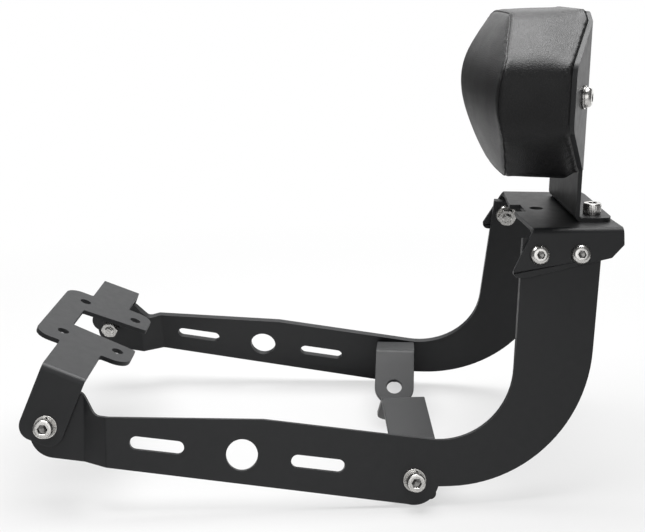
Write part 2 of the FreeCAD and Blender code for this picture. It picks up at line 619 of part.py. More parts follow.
def saddle_bridge():
    runs = [
        (f"{SADDLE_FOLD} - {LOBE_BOTTOM}", "90"),
        ("plate_half_spacing", "plate_lean"),
    ]
    section = folded_section(("(-saddle_thickness)", LOBE_BOTTOM), runs, "0", "-saddle_thickness")
    length = f"{SADDLE_REAR} - {SADDLE_LOBE}"
    channel = outline_body("saddle_channel", "YZ_Plane", section, length, SADDLE_LOBE)
    folds = [section[1] + ("fold_radius + saddle_thickness",), section[4] + ("fold_radius",)]
    round_corners(channel, "YZ_Plane", folds)
    above = f"{SADDLE_FOLD} + {TOOL_REACH}"
    rear_bottom = "upright_top - saddle_rear_drop"
    edge = [
        (SADDLE_FRONT, above),
        (SADDLE_FRONT, SADDLE_FOLD),
        (SADDLE_LOBE, f"{LOBE_BOTTOM} + saddle_lobe_radius"),
        (SADDLE_LOBE, LOBE_BOTTOM),
        (f"{SADDLE_LOBE} + saddle_lobe_radius * 2", LOBE_BOTTOM),
        (f"{SADDLE_REAR} - saddle_chamfer", rear_bottom),
        (SADDLE_REAR, f"{rear_bottom} + saddle_chamfer"),
        (SADDLE_REAR, above),
    ]
    outline = outline_body("saddle_outline", "XZ_Plane", edge, TOOL_REACH, f"-{TOOL_REACH / 2}", True)
    round_corners(outline, "XZ_Plane", [edge[3] + ("saddle_lobe_radius * 0.9",)])
    form = common("saddle_form", [channel, outline])
    move(form, PLATE)
    bolts = []
    for index, along in enumerate(SADDLE_BOLTS):
        bolts.append(bolt_hole(f"saddle_bolt_hole_{index}", PLATE, along, SADDLE_BOLT_RISE,
                               "-saddle_thickness", "saddle_thickness"))
    right_side = move(block("saddle_right_side", TOOL_REACH, TOOL_REACH, TOOL_REACH), WORLD,
                      "plate_back", 0, 0)
    left = cut("saddle_left", form, bolts + [right_side])
    whole = fuse("saddle_whole", [left, mirror("saddle_right", left)])
    narrowing = "plate_half_spacing * tan(plate_toe) / 2"
    middle_front = f"(plate_back + {SADDLE_FRONT} * cos(plate_toe) - {narrowing})"
    notch = block("saddle_notch", "saddle_notch_depth * 2", "saddle_notch_width", "saddle_thickness * 4")
    move(notch, WORLD, f"{middle_front} - saddle_notch_depth", "-saddle_notch_width / 2",
         f"{SADDLE_TOP} - saddle_thickness * 2")
    tools = [notch]
    hole = cylinder("saddle_top_hole", "saddle_hole", "saddle_thickness * 4")
    tools.append(move(hole, WORLD, f"{middle_front} + saddle_hole_behind", 0,
                      f"{SADDLE_TOP} - saddle_thickness * 2"))
    for side in (-1, 1):
        tool = cylinder(f"saddle_stay_hole_{side + 1}", "thread + bolt_clearance", "saddle_thickness * 4")
        tools.append(move(tool, WORLD, f"{STAY_BACK} + stay_bolt_behind", f"{side} * stay_bolt_half",
                          f"{SADDLE_TOP} - saddle_thickness * 2"))
    return [cut("saddle_bridge", whole, tools)]


def stay_line(wing):
    """Start and runs of the stay's rear face seen from above, with wings of a given length."""
    tip_x = f"({STAY_BACK} - {wing} * sin(stay_wing_angle))"
    tip_y = f"(-stay_flat_half - {wing} * cos(stay_wing_angle))"
    runs = [
        (wing, "(90 - stay_wing_angle)"),
        ("stay_flat_half * 2", "90"),
        (wing, "(90 + stay_wing_angle)"),
    ]
    return (tip_x, tip_y), runs


def pad_front_view(name, margin, length, start):
    """Prism of the pad's outline seen from the front, less a margin."""
    half = f"(pad_half_width - {margin})"
    low = f"({PAD_BOTTOM} + {margin})"
    high = f"({PAD_BOTTOM} + pad_height - {margin})"
    right_side = [
        (f"({half} - pad_top_cut)", high),
        (half, f"{high} - pad_cut_up"),
        (half, f"{low} + pad_cut_up"),
        (f"({half} - pad_low_cut)", low),
    ]
    left_side = [(f"-{across}", up) for across, up in reversed(right_side)]
    corners = right_side + left_side
    body = outline_body(name, "YZ_Plane", corners, length, start)
    return round_corners(body, "YZ_Plane", [corner + ("pad_corner",) for corner in corners])


def backrest_stay():
    start, runs = stay_line("stay_wing")
    section = folded_section(start, runs, "0", "stay_thickness")
    strip = outline_body("stay_strip", "XY_Plane", section, "stay_neck_height + pad_height", SADDLE_TOP)
    rounds = [section[index] + ("fold_radius + stay_thickness",) for index in (1, 2)]
    rounds += [section[index] + ("fold_radius",) for index in (5, 6)]
    round_corners(strip, "XY_Plane", rounds)
    upper = pad_front_view("stay_upper", "stay_margin", STAY_BACK, "0")
    neck_corners = [
        ("stay_neck_half", f"{PAD_BOTTOM} + stay_margin + pad_cut_up"),
        ("stay_neck_half", SADDLE_TOP),
        ("-stay_neck_half", SADDLE_TOP),
        ("-stay_neck_half", f"{PAD_BOTTOM} + stay_margin + pad_cut_up"),
    ]
    neck = outline_body("stay_neck", "YZ_Plane", neck_corners, STAY_BACK)
    back = common("stay_back_plate", [strip, fuse("stay_face", [upper, neck])])
    foot_corners = [
        (STAY_FRONT, "-stay_neck_half"),
        (f"{STAY_FRONT} + stay_foot", "-stay_neck_half"),
        (f"{STAY_FRONT} + stay_foot", "stay_neck_half"),
        (STAY_FRONT, "stay_neck_half"),
    ]
    foot = outline_body("stay_foot", "XY_Plane", foot_corners, "stay_thickness", SADDLE_TOP)
    round_corners(foot, "XY_Plane", [foot_corners[index] + ("stay_foot_corner",) for index in (1, 2)])
    sharp = fuse("stay_sharp", [back, foot])
    outer = round_edges("stay_outer_fold", sharp, "fold_radius + stay_thickness",
                        on_both(on_plane(WORLD, 0, STAY_FRONT), on_plane(WORLD, 2, SADDLE_TOP)))
    folded = round_edges("stay_inner_fold", outer, "fold_radius",
                         on_both(on_plane(WORLD, 0, STAY_BACK),
                                 on_plane(WORLD, 2, f"{SADDLE_TOP} + stay_thickness")))
    tools = []
    for side in (-1, 1):
        foot_hole = cylinder(f"stay_foot_hole_{side + 1}", "thread + bolt_clearance", "stay_thickness")
        tools.append(move(foot_hole, WORLD, f"{STAY_BACK} + stay_bolt_behind", f"{side} * stay_bolt_half",
                          SADDLE_TOP))
    for index, (wing, along) in enumerate(PAD_BOLTS):
        pad_hole = cylinder(f"stay_pad_hole_{index}", "thread + bolt_clearance", "stay_thickness")
        tools.append(move(pad_hole, wing, "-stay_thickness", along, PAD_BOLT_HEIGHT, 0, 90, 0))
    return [cut("backrest_stay", folded, tools)]


def backrest_pad():
    pad_front = f"({STAY_FRONT} - pad_depth)"
    side_view = [
        ("(pad_depth + stay_thickness - pad_crown)", PAD_BOTTOM),
        ("(pad_bottom_set - pad_crown)", PAD_BOTTOM),
        ("(-pad_crown)", f"{PAD_BOTTOM} + pad_nose_low"),
        ("(-pad_crown)", f"{PAD_BOTTOM} + pad_nose_high"),
        ("(pad_top_set - pad_crown)", f"{PAD_BOTTOM} + pad_height"),
        ("(pad_depth + stay_thickness - pad_crown)", f"{PAD_BOTTOM} + pad_height"),
    ]
    rounds = [side_view[index] + ("pad_nose_round",) for index in (2, 3)]
    rounds += [side_view[index] + ("pad_lip_round",) for index in (1, 4)]
    sweep = f"2 * asin(pad_half_width / pad_crown) * {SWEEP_MARGIN}"
    turned = turned_body("pad_side_view", side_view, sweep, rounds)
    move(turned, WORLD, f"{pad_front} + pad_crown")
    front = pad_front_view("pad_front_view", "0", "pad_depth + stay_thickness", pad_front)
    block_form = common("pad_block", [turned, front])
    start, runs = stay_line("(stay_wing * 2)")
    behind_section = folded_section(start, runs, "-stay_wing", "stay_thickness")
    behind = outline_body("pad_behind", "XY_Plane", behind_section, f"{PAD_BOTTOM} + pad_height * 2")
    round_corners(behind, "XY_Plane", [behind_section[index] + ("fold_radius",) for index in (5, 6)])
    board_section = folded_section(start, runs, "stay_thickness", "stay_thickness + board_thickness")
    board_strip = outline_body("board_strip", "XY_Plane", board_section, "pad_height", PAD_BOTTOM)
    round_corners(board_strip, "XY_Plane", [board_section[index] + ("fold_radius",) for index in (1, 2)])
    board_face = pad_front_view("board_face", "board_margin", STAY_BACK, "0")
    board_blank = common("board_blank", [board_strip, board_face])
    bores = []
    hollows = []
    for index, (wing, along) in enumerate(PAD_BOLTS):
        bore = cylinder(f"board_bore_{index}", "tee_barrel + tee_clearance", "board_thickness")
        bores.append(move(bore, wing, NUT_SEAT, along, PAD_BOLT_HEIGHT, 0, 90, 0))
        hollow = cylinder(f"pad_hollow_{index}", "tee_flange + tee_clearance",
                          "tee_flange_height + tee_clearance")
        hollows.append(move(hollow, wing, NUT_SEAT, along, PAD_BOLT_HEIGHT, 0, -90, 0))
    cushion = cut("pad_cushion", block_form, [behind, board_blank] + hollows)
    board = cut("pad_backing_board", board_blank, bores)
    return [cushion, board]


def plate_stack(prefix, x, z, seat, inside):
    """Cap screw, spring and flat washer outside a side plate and a nut inside it, on both sides."""
    stack = f"washer_height + spring_height + ({inside}) - ({seat}) + nut_height + thread_stand"
    screw = cap_screw(prefix + "_screw", stack)
    move(screw, PLATE, x, f"{seat} - washer_height - spring_height", z, 0, 0, 90)
    spring = move(spring_washer(prefix + "_spring"), PLATE, x, f"{seat} - washer_height", z, 0, 0, 90)
    washer = move(flat_washer(prefix + "_washer"), PLATE, x, seat, z, 0, 0, 90)
    nut = move(hex_nut(prefix + "_nut"), PLATE, x, inside, z, 0, 0, -90)
    return [
        both_sides(prefix + "_screws", [screw]),
        both_sides(prefix + "_spring_washers", [spring]),
        both_sides(prefix + "_flat_washers", [washer]),
        both_sides(prefix + "_nuts", [nut]),
    ]


def saddle_fasteners():
    screws = []
    nuts = []
    shank = "saddle_thickness + plate_thickness + nut_height + thread_stand"
    for index, along in enumerate(SADDLE_BOLTS):
        screw = button_screw(f"saddle_screw_{index}", shank)
        screws.append(move(screw, PLATE, along, "-saddle_thickness", SADDLE_BOLT_RISE, 0, 0, 90))
        nut = flange_nut(f"saddle_nut_{index}")
        nuts.append(move(nut, PLATE, along, "plate_thickness", SADDLE_BOLT_RISE, 0, 0, -90))
    return [both_sides("saddle_screws", screws), both_sides("saddle_nuts", nuts)]


def stay_fasteners():
    x = f"{STAY_BACK} + stay_bolt_behind"
    y = "-stay_bolt_half"
    seat = f"{SADDLE_TOP} + stay_thickness"
    under = f"{SADDLE_TOP} - saddle_thickness"
    shank = "stay_thickness + saddle_thickness + washer_height + spring_height + nut_height + thread_stand"
    screw = move(cap_screw("stay_screw", shank), WORLD, x, y, seat)
    washer = move(flat_washer("stay_washer"), WORLD, x, y, under, 0, 0, 180)
    spring = move(spring_washer("stay_spring"), WORLD, x, y, f"{under} - washer_height", 0, 0, 180)
    nut = move(hex_nut("stay_nut"), WORLD, x, y, f"{under} - washer_height - spring_height", 0, 0, 180)
    return [
        both_sides("stay_screws", [screw]),
        both_sides("stay_spring_washers", [spring]),
        both_sides("stay_flat_washers", [washer]),
        both_sides("stay_nuts", [nut]),
    ]


def pad_fasteners():
    wing, along = PAD_BOLTS[0]
    screw = button_screw("pad_screw", "washer_height + stay_thickness + board_thickness")
    move(screw, wing, "washer_height", along, PAD_BOLT_HEIGHT, 0, 90, 0)
    washer = move(flat_washer("pad_washer"), wing, 0, along, PAD_BOLT_HEIGHT, 0, 90, 0)
    barrel = cylinder("tee_barrel_form", "tee_barrel", "board_thickness")
    flange = cylinder("tee_flange_form", "tee_flange", "tee_flange_height")
    move(flange, WORLD, 0, 0, "-tee_flange_height")
    bore = move(cylinder("tee_bore", "thread + thread_gap", "board_thickness + tee_flange_height"), WORLD,
                0, 0, "-tee_flange_height")
    tee = cut("tee_nut", fuse("tee_blank", [barrel, flange]), [bore])
    move(tee, wing, NUT_SEAT, along, PAD_BOLT_HEIGHT, 0, 90, 0)
    return [
        both_sides("pad_screws", [screw]),
        both_sides("pad_washers", [washer]),
        both_sides("pad_tee_nuts", [tee]),
    ]


nodes = side_plate() + front_bracket() + rear_tab() + saddle_bridge() + backrest_stay() + backrest_pad()
nodes += plate_stack("front", "-front_bolt_ahead", "front_bolt_rise", LEG_OUTER,
                     "joggle_offset + plate_thickness")
nodes += plate_stack("tab", "tab_bolt_behind", "-tab_bolt_drop", "0", "plate_thickness + bracket_thickness")
nodes += saddle_fasteners() + stay_fasteners() + pad_fasteners()
doc.recompute()

for item in doc.Objects:
    if "Invalid" in item.State or "Error" in item.State:
        raise RuntimeError(f"{item.Name} did not compute: {item.State}")
for node in nodes:
    if node.Shape.isNull() or not node.Shape.isValid() or not node.Shape.Solids:
        raise RuntimeError(f"{node.Label} has no valid solid")

os.makedirs("parts", exist_ok=True)
for node in nodes:
    node.Shape.exportStep(f"parts/{node.Label}.step")
    print(f"{node.Label}: {len(node.Shape.Solids)} solids, {node.Shape.Volume:.0f} mm3")
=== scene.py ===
"""Looks of a grab rail with a padded backrest: coated sheet metal, bright fasteners and a leather pad."""

import math

import bmesh
import bpy
import numpy as np
from bpy.props import FloatProperty, FloatVectorProperty, IntProperty, PointerProperty
from bpy.types import Operator, Panel, PropertyGroup
from mathutils import Matrix, Vector
from mathutils.bvhtree import BVHTree


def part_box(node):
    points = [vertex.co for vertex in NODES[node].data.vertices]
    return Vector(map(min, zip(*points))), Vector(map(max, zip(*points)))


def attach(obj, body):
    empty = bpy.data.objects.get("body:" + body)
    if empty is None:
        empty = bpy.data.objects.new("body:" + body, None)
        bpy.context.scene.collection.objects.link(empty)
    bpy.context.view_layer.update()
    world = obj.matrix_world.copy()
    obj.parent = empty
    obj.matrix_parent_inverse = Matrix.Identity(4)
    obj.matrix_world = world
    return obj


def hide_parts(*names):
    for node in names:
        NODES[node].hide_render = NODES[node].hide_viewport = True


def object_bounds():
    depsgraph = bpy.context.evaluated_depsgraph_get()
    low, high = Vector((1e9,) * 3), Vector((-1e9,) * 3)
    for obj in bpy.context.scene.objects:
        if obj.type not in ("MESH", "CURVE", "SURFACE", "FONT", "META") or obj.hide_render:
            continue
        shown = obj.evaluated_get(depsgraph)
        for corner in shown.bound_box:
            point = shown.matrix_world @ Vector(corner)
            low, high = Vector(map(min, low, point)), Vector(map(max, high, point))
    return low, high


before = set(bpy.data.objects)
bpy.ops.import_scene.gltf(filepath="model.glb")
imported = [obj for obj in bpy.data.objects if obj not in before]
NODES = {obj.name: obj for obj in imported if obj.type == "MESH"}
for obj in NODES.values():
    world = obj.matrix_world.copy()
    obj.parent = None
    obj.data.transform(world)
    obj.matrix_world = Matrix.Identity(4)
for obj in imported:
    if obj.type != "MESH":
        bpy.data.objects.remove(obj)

bl_info = {
    "name": "Grab Rail Looks",
    "version": (1, 0, 0),
    "blender": (4, 5, 0),
    "location": "View3D > Sidebar > Grab Rail",
    "description": "Dresses the solids of a grab rail with backrest in coated metal, steel and leather",
    "category": "Object",
}

CAD_BOX = [list(corner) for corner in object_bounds()]
SHEETS = (
    "left_side_plate", "right_side_plate", "front_bracket", "left_rear_tab", "right_rear_tab",
    "saddle_bridge", "backrest_stay",
)
CAP_SCREWS = ("front_screws", "tab_screws", "stay_screws")
BUTTON_SCREWS = ("saddle_screws", "pad_screws")
HARDWARE = (
    "front_spring_washers", "front_flat_washers", "front_nuts", "tab_spring_washers", "tab_flat_washers",
    "tab_nuts", "saddle_nuts", "stay_spring_washers", "stay_flat_washers", "stay_nuts", "pad_washers",
)
MILLIMETRE = 0.001
PHOTO_WIDTH = 645
SENSOR_WIDTH = 36
FLOOR_GAP = 0.5 * MILLIMETRE
WELD_GAP = 0.005 * MILLIMETRE
FLAT_ANGLE = math.radians(0.4)
EDGE_ANGLE = math.radians(38)
CREASE_ANGLE = math.radians(35)
DRILL_SLOPE = math.radians(31)
BUTTON_SEGMENTS = 96
SEGMENTS_PER_KNURL = 4
ROWS_PER_TURN = 10
LONGEST_THREAD = 14 * MILLIMETRE
SEAM_STEP = 2 * MILLIMETRE
SEAM_CORNER_ROUNDS = 24
SEAM_LINE_ROUNDS = 3
RELAX_PULL = 0.5

# Places of a mix node's sockets: first, second and result, for vectors and for colours
VECTOR_SOCKETS = (4, 5, 1)
COLOUR_SOCKETS = (6, 7, 2)

# Each lamp's name, its place from the middle of the rail and its width and height, in metres
LAMPS = (
    ("key", (-0.05, 0.2, 1.1), (1.3, 0.9)),
    ("fill", (0.1, -1.25, 0.4), (1.2, 0.9)),
    ("rear", (1.0, 0.75, 0.15), (0.9, 0.6)),
    ("back", (0.2, 1.5, 0.65), (1.6, 0.7)),
)


class CoatSettings(PropertyGroup):
    """Satin black coat of the folded sheets."""

    colour: FloatVectorProperty(
        name="Colour", description="Colour of the coat", subtype="COLOR", default=(0.015, 0.0155, 0.0165))
    rub_colour: FloatVectorProperty(
        name="Rubbed colour", description="Colour where the coat is handled", subtype="COLOR",
        default=(0.04, 0.041, 0.043))
    roughness: FloatProperty(
        name="Roughness", description="Mean roughness of the coat", default=0.44, min=0, max=1)
    gloss: FloatProperty(
        name="Gloss", description="Specular level of the coat", default=0.3, min=0, max=1)
    edge: FloatProperty(
        name="Edge break", description="Width of the broken edges of the cut sheet", unit="LENGTH",
        default=0.4 * MILLIMETRE)
    peel: FloatProperty(
        name="Peel", description="Height of the fine orange peel in the coat", unit="LENGTH",
        default=0.03 * MILLIMETRE)


class SteelSettings(PropertyGroup):
    """Bright fasteners."""

    colour: FloatVectorProperty(
        name="Colour", description="Colour of the stainless steel", subtype="COLOR",
        default=(0.62, 0.61, 0.59))
    zinc_colour: FloatVectorProperty(
        name="Zinc colour", description="Colour of the plated tee nuts", subtype="COLOR",
        default=(0.56, 0.56, 0.53))
    roughness: FloatProperty(
        name="Roughness", description="Mean roughness of the steel", default=0.27, min=0, max=1)
    edge: FloatProperty(
        name="Edge break", description="Width of the broken edges of nuts and washers", unit="LENGTH",
        default=0.25 * MILLIMETRE)
    pitch: FloatProperty(
        name="Thread pitch", description="Distance between two turns of the thread", unit="LENGTH",
        default=1.25 * MILLIMETRE)
    thread_depth: FloatProperty(
        name="Thread depth", description="Depth of the thread's groove", unit="LENGTH",
        default=0.65 * MILLIMETRE)
    cap_socket: FloatProperty(
        name="Cap socket", description="Hexagon socket of a cap head, across flats", unit="LENGTH",
        default=6 * MILLIMETRE)
    cap_socket_depth: FloatProperty(
        name="Cap socket depth", description="Depth of the socket of a cap head", unit="LENGTH",
        default=4.5 * MILLIMETRE)
    button_socket: FloatProperty(
        name="Button socket", description="Hexagon socket of a button head, across flats", unit="LENGTH",
        default=5 * MILLIMETRE)
    button_socket_depth: FloatProperty(
        name="Button socket depth", description="Depth of the socket of a button head", unit="LENGTH",
        default=2.6 * MILLIMETRE)
    knurls: IntProperty(name="Knurls", description="Ridges round a cap head", default=36, min=12)
    knurl_depth: FloatProperty(
        name="Knurl depth", description="Depth between two ridges of a cap head", unit="LENGTH",
        default=0.22 * MILLIMETRE)


class CoverSettings(PropertyGroup):
    """Leather cover of the backrest pad, over foam on a plywood board."""

    colour: FloatVectorProperty(
        name="Colour", description="Colour of the leather", subtype="COLOR", default=(0.005, 0.005, 0.0055))
    sheen_colour: FloatVectorProperty(
        name="Polished colour", description="Colour where the leather is polished", subtype="COLOR",
        default=(0.009, 0.009, 0.0095))
    board_colour: FloatVectorProperty(
        name="Board colour", description="Colour of the plywood", subtype="COLOR", default=(0.45, 0.33, 0.2))
    roughness: FloatProperty(
        name="Roughness", description="Mean roughness of the leather", default=0.4, min=0, max=1)
    gloss: FloatProperty(
        name="Gloss", description="Specular level of the leather", default=0.27, min=0, max=1)
    grain: FloatProperty(
        name="Grain", description="Width of one pebble of the grain", unit="LENGTH",
        default=1.4 * MILLIMETRE)
    voxel: FloatProperty(
        name="Voxel", description="Mesh size of the cloth that swells over the foam", unit="LENGTH",
        default=2.6 * MILLIMETRE)
    slack: FloatProperty(
        name="Slack", description="How much smaller the cover starts than the pad", unit="LENGTH",
        default=0.4 * MILLIMETRE)
    pressure: FloatProperty(
        name="Pressure", description="Pressure of the foam under the cover", default=4)
    softness: IntProperty(
        name="Softness", description="Rounds of smoothing of the form's edges under the cover",
        default=100, min=0)
    seam_softness: IntProperty(
        name="Seam softness", description="Rounds of smoothing of the edge under the seam",
        default=30, min=0)
    sag: FloatProperty(
        name="Sag", description="How far the pad's underside hangs below its form", unit="LENGTH",
        default=6.5 * MILLIMETRE)
    frames: IntProperty(name="Frames", description="Steps of the swelling", default=20, min=2)
    cap: FloatProperty(
        name="Cap", description="Furthest that a point of the cover may move", unit="LENGTH",
        default=5 * MILLIMETRE)
    held: FloatProperty(
        name="Held", description="Distance to the stay or board within which the cover is held",
        unit="LENGTH", default=4 * MILLIMETRE)
    fill: FloatProperty(
        name="Fill", description="How tight the foam fills the cover", default=0.85, min=0, max=1)
    seam_inset: FloatProperty(
        name="Seam inset", description="Seam inside the pad's outline, seen from the front", unit="LENGTH",
        default=0.8 * MILLIMETRE)
    seam_depth: FloatProperty(
        name="Seam depth", description="Depth of the groove along the seam", unit="LENGTH",
        default=0.9 * MILLIMETRE)
    seam_width: FloatProperty(
        name="Seam width", description="Half width of the groove along the seam", unit="LENGTH",
        default=2.4 * MILLIMETRE)
    welt: FloatProperty(
        name="Welt", description="Radius of the folded welt in the seam", unit="LENGTH",
        default=0.8 * MILLIMETRE)
    top_cut: FloatProperty(
        name="Upper slant", description="Upper slanted corner of the pad, across", unit="LENGTH",
        default=58 * MILLIMETRE)
    low_cut: FloatProperty(
        name="Lower slant", description="Lower slanted corner of the pad, across", unit="LENGTH",
        default=45 * MILLIMETRE)
    cut_up: FloatProperty(
        name="Slant height", description="Slanted corners of the pad, upwards", unit="LENGTH",
        default=34 * MILLIMETRE)


class StageSettings(PropertyGroup):
    """Floor, light and camera."""

    floor_colour: FloatVectorProperty(
        name="Floor", description="Colour of the floor", subtype="COLOR", default=(0.5, 0.5, 0.5))
    floor_glow: FloatProperty(
        name="Floor glow", description="Share of plain white in the near floor as the camera sees it",
        default=0.6)
    glow_from: FloatProperty(
        name="Glow from", description="Distance at which the floor starts to turn plain white",
        unit="LENGTH", default=0.3)
    glow_to: FloatProperty(
        name="Glow to", description="Distance beyond which the camera sees a plain white floor",
        unit="LENGTH", default=0.8)
    floor_half: FloatProperty(
        name="Floor half width", description="Half the width of the floor", unit="LENGTH", default=30)
    ambient: FloatProperty(name="Ambient", description="Strength of the light from all round", default=0.13)
    key: FloatProperty(name="Key", description="Power of the soft light overhead", unit="POWER", default=36)
    fill: FloatProperty(
        name="Fill", description="Power of the soft light behind the camera", unit="POWER", default=5)
    rear: FloatProperty(
        name="Rear", description="Power of the low soft light behind the pad", unit="POWER", default=2)
    back: FloatProperty(
        name="Back", description="Power of the wide soft light behind the rail", unit="POWER", default=5.5)
    camera: FloatVectorProperty(
        name="Camera", description="Place of the camera", subtype="XYZ", unit="LENGTH",
        default=(0.2029, -0.7831, 0.2567))
    aim: FloatVectorProperty(
        name="Aim", description="Direction in which the camera looks", subtype="DIRECTION",
        default=(-0.0092, 0.9650, -0.2621))
    focal_pixels: FloatProperty(
        name="Focal length", description="Focal length in pixels of the photograph", default=1050)


class GrabRailSettings(PropertyGroup):
    """All the looks of the grab rail."""

    coat: PointerProperty(type=CoatSettings)
    steel: PointerProperty(type=SteelSettings)
    cover: PointerProperty(type=CoverSettings)
    stage: PointerProperty(type=StageSettings)


# Shader nodes


def add_node(tree, kind, inputs=None, **options):
    """Adds a node, sets its options and gives each input a value or a link."""
    node = tree.nodes.new(kind)
    for name, value in options.items():
        setattr(node, name, value)
    for name, value in (inputs or {}).items():
        if isinstance(value, bpy.types.NodeSocket):
            tree.links.new(value, node.inputs[name])
        else:
            node.inputs[name].default_value = value
    return node


def opaque(colour):
    return (*colour, 1.0)


def scaled(colour, share):
    """Lighter or darker shade of a colour."""
    return [share * part for part in colour]


def new_group(name, inputs, outputs):
    """Shader node group with named sockets; returns its tree, input node and output node."""
    tree = bpy.data.node_groups.new(name, "ShaderNodeTree")
    for label, value in inputs:
        tree.interface.new_socket(label, in_out="INPUT", socket_type="NodeSocketFloat").default_value = value
    for label in outputs:
        tree.interface.new_socket(label, in_out="OUTPUT", socket_type="NodeSocketFloat")
    return tree, tree.nodes.new("NodeGroupInput"), tree.nodes.new("NodeGroupOutput")


def speckle_group():
    """Fine even mottling, for coats, metal, leather and wood."""
    found = bpy.data.node_groups.get("Speckle")
    if found:
        return found
    tree, given, result = new_group("Speckle", [("Scale", 500.0), ("Contrast", 1.0)], ["Mask"])
    place = add_node(tree, "ShaderNodeTexCoord")
    noise = add_node(tree, "ShaderNodeTexNoise", {
        "Vector": place.outputs["Object"], "Scale": given.outputs["Scale"], "Detail": 5.0, "Roughness": 0.6})
    centred = add_node(tree, "ShaderNodeMath", {0: noise.outputs["Fac"], 1: 0.5}, operation="SUBTRACT")
    spread = add_node(tree, "ShaderNodeMath", {0: centred.outputs[0], 1: given.outputs["Contrast"], 2: 0.5},
                      operation="MULTIPLY_ADD", use_clamp=True)
    tree.links.new(spread.outputs[0], result.inputs["Mask"])
    return tree


def edge_rub_group():
    """Broken mask along the outer edges, where hands and tools rub."""
    found = bpy.data.node_groups.get("Edge rub")
    if found:
        return found
    tree, given, result = new_group(
        "Edge rub", [("Radius", 0.0015), ("Patch scale", 60.0), ("Amount", 1.0)], ["Mask"])
    rounded = add_node(tree, "ShaderNodeBevel", {"Radius": given.outputs["Radius"]}, samples=4)
    surface = add_node(tree, "ShaderNodeNewGeometry")
    agree = add_node(tree, "ShaderNodeVectorMath", {
        0: rounded.outputs["Normal"], 1: surface.outputs["Normal"]}, operation="DOT_PRODUCT")
    edge = add_node(tree, "ShaderNodeMapRange", {
        "Value": agree.outputs["Value"], "From Min": 0.985, "From Max": 0.8, "To Min": 0.0, "To Max": 1.0})
    place = add_node(tree, "ShaderNodeTexCoord")
    patches = add_node(tree, "ShaderNodeTexNoise", {
        "Vector": place.outputs["Object"], "Scale": given.outputs["Patch scale"], "Detail": 6.0})
    worn = add_node(tree, "ShaderNodeMapRange", {
        "Value": patches.outputs["Fac"], "From Min": 0.42, "From Max": 0.62, "To Min": 0.0, "To Max": 1.0})
    both = add_node(tree, "ShaderNodeMath", {0: edge.outputs["Result"], 1: worn.outputs["Result"]},
                    operation="MULTIPLY")
    share = add_node(tree, "ShaderNodeMath", {0: both.outputs[0], 1: given.outputs["Amount"]},
                     operation="MULTIPLY", use_clamp=True)
    tree.links.new(share.outputs[0], result.inputs["Mask"])
    return tree


def place_group(tree, group, values):
    node = tree.nodes.new("ShaderNodeGroup")
    node.node_tree = group
    for name, value in values.items():
        node.inputs[name].default_value = value
    return node.outputs["Mask"]


def new_material(name):
    """Material with only a Principled shader; returns it, its tree and the shader."""
    made = bpy.data.materials.new(name)
    made.use_nodes = True
    tree = made.node_tree
    return made, tree, tree.nodes["Principled BSDF"]


def mix_colour(tree, mask, first, second):
    first_place, second_place, result_place = COLOUR_SOCKETS
    mixed = add_node(tree, "ShaderNodeMix", data_type="RGBA")
    tree.links.new(mask, mixed.inputs["Factor"])
    for place, value in ((first_place, first), (second_place, second)):
        if isinstance(value, bpy.types.NodeSocket):
            tree.links.new(value, mixed.inputs[place])
        else:
            mixed.inputs[place].default_value = opaque(value)
    return mixed.outputs[result_place]


def vary(tree, mask, low, high):
    """Value that runs from low to high with a mask."""
    spread = add_node(tree, "ShaderNodeMapRange", {"Value": mask, "To Min": low, "To Max": high})
    return spread.outputs["Result"]


def bump(tree, height, distance, strength=1.0, under=None):
    node = add_node(tree, "ShaderNodeBump", {"Height": height, "Distance": distance, "Strength": strength})
    if under is not None:
        tree.links.new(under, node.inputs["Normal"])
    return node.outputs["Normal"]


def powder_coat(coat):
    """Satin black powder coat: fine orange peel, faint mottling, slightly rubbed edges."""
    made, tree, shader = new_material("satin_powder_coat")
    mottle = place_group(tree, speckle_group(), {"Scale": 140.0, "Contrast": 1.6})
    peel = place_group(tree, speckle_group(), {"Scale": 1100.0, "Contrast": 1.4})
    rub = place_group(tree, edge_rub_group(), {
        "Radius": 1.2 * MILLIMETRE, "Patch scale": 90.0, "Amount": 0.55})
    shader.inputs["Specular IOR Level"].default_value = coat.gloss
    shade = mix_colour(tree, mottle, scaled(coat.colour, 0.85), scaled(coat.colour, 1.15))
    tree.links.new(mix_colour(tree, rub, shade, coat.rub_colour), shader.inputs["Base Color"])
    dulling = vary(tree, mottle, coat.roughness - 0.06, coat.roughness + 0.06)
    tree.links.new(dulling, shader.inputs["Roughness"])
    tree.links.new(bump(tree, peel, coat.peel), shader.inputs["Normal"])
    return made


def stainless(steel):
    """Bright stainless steel with fine marks, and painted shade that darkens its hollows such as the screw
    sockets.
    """
    made, tree, shader = new_material("bright_stainless")
    marks = place_group(tree, speckle_group(), {"Scale": 900.0, "Contrast": 1.4})
    cloud = place_group(tree, speckle_group(), {"Scale": 220.0, "Contrast": 1.5})
    shader.inputs["Metallic"].default_value = 1.0
    shade = mix_colour(tree, cloud, scaled(steel.colour, 0.9), scaled(steel.colour, 1.05))
    # Painted shade: ambient occlusion darkens the steel in sockets and other hollows to 0.22 of its colour
    socket_shade_ao = add_node(tree, "ShaderNodeAmbientOcclusion", {"Distance": steel.cap_socket}, samples=8)
    unshaded_share = add_node(tree, "ShaderNodeMapRange", {
        "Value": socket_shade_ao.outputs["AO"], "From Min": 0.3, "From Max": 0.75}, interpolation_type="SMOOTHSTEP")
    bright = mix_colour(tree, unshaded_share.outputs["Result"], scaled(steel.colour, 0.22), shade)
    tree.links.new(bright, shader.inputs["Base Color"])
    dulling = vary(tree, marks, steel.roughness - 0.04, steel.roughness + 0.04)
    tree.links.new(dulling, shader.inputs["Roughness"])
    tree.links.new(bump(tree, marks, 0.0012 * MILLIMETRE), shader.inputs["Normal"])
    return made


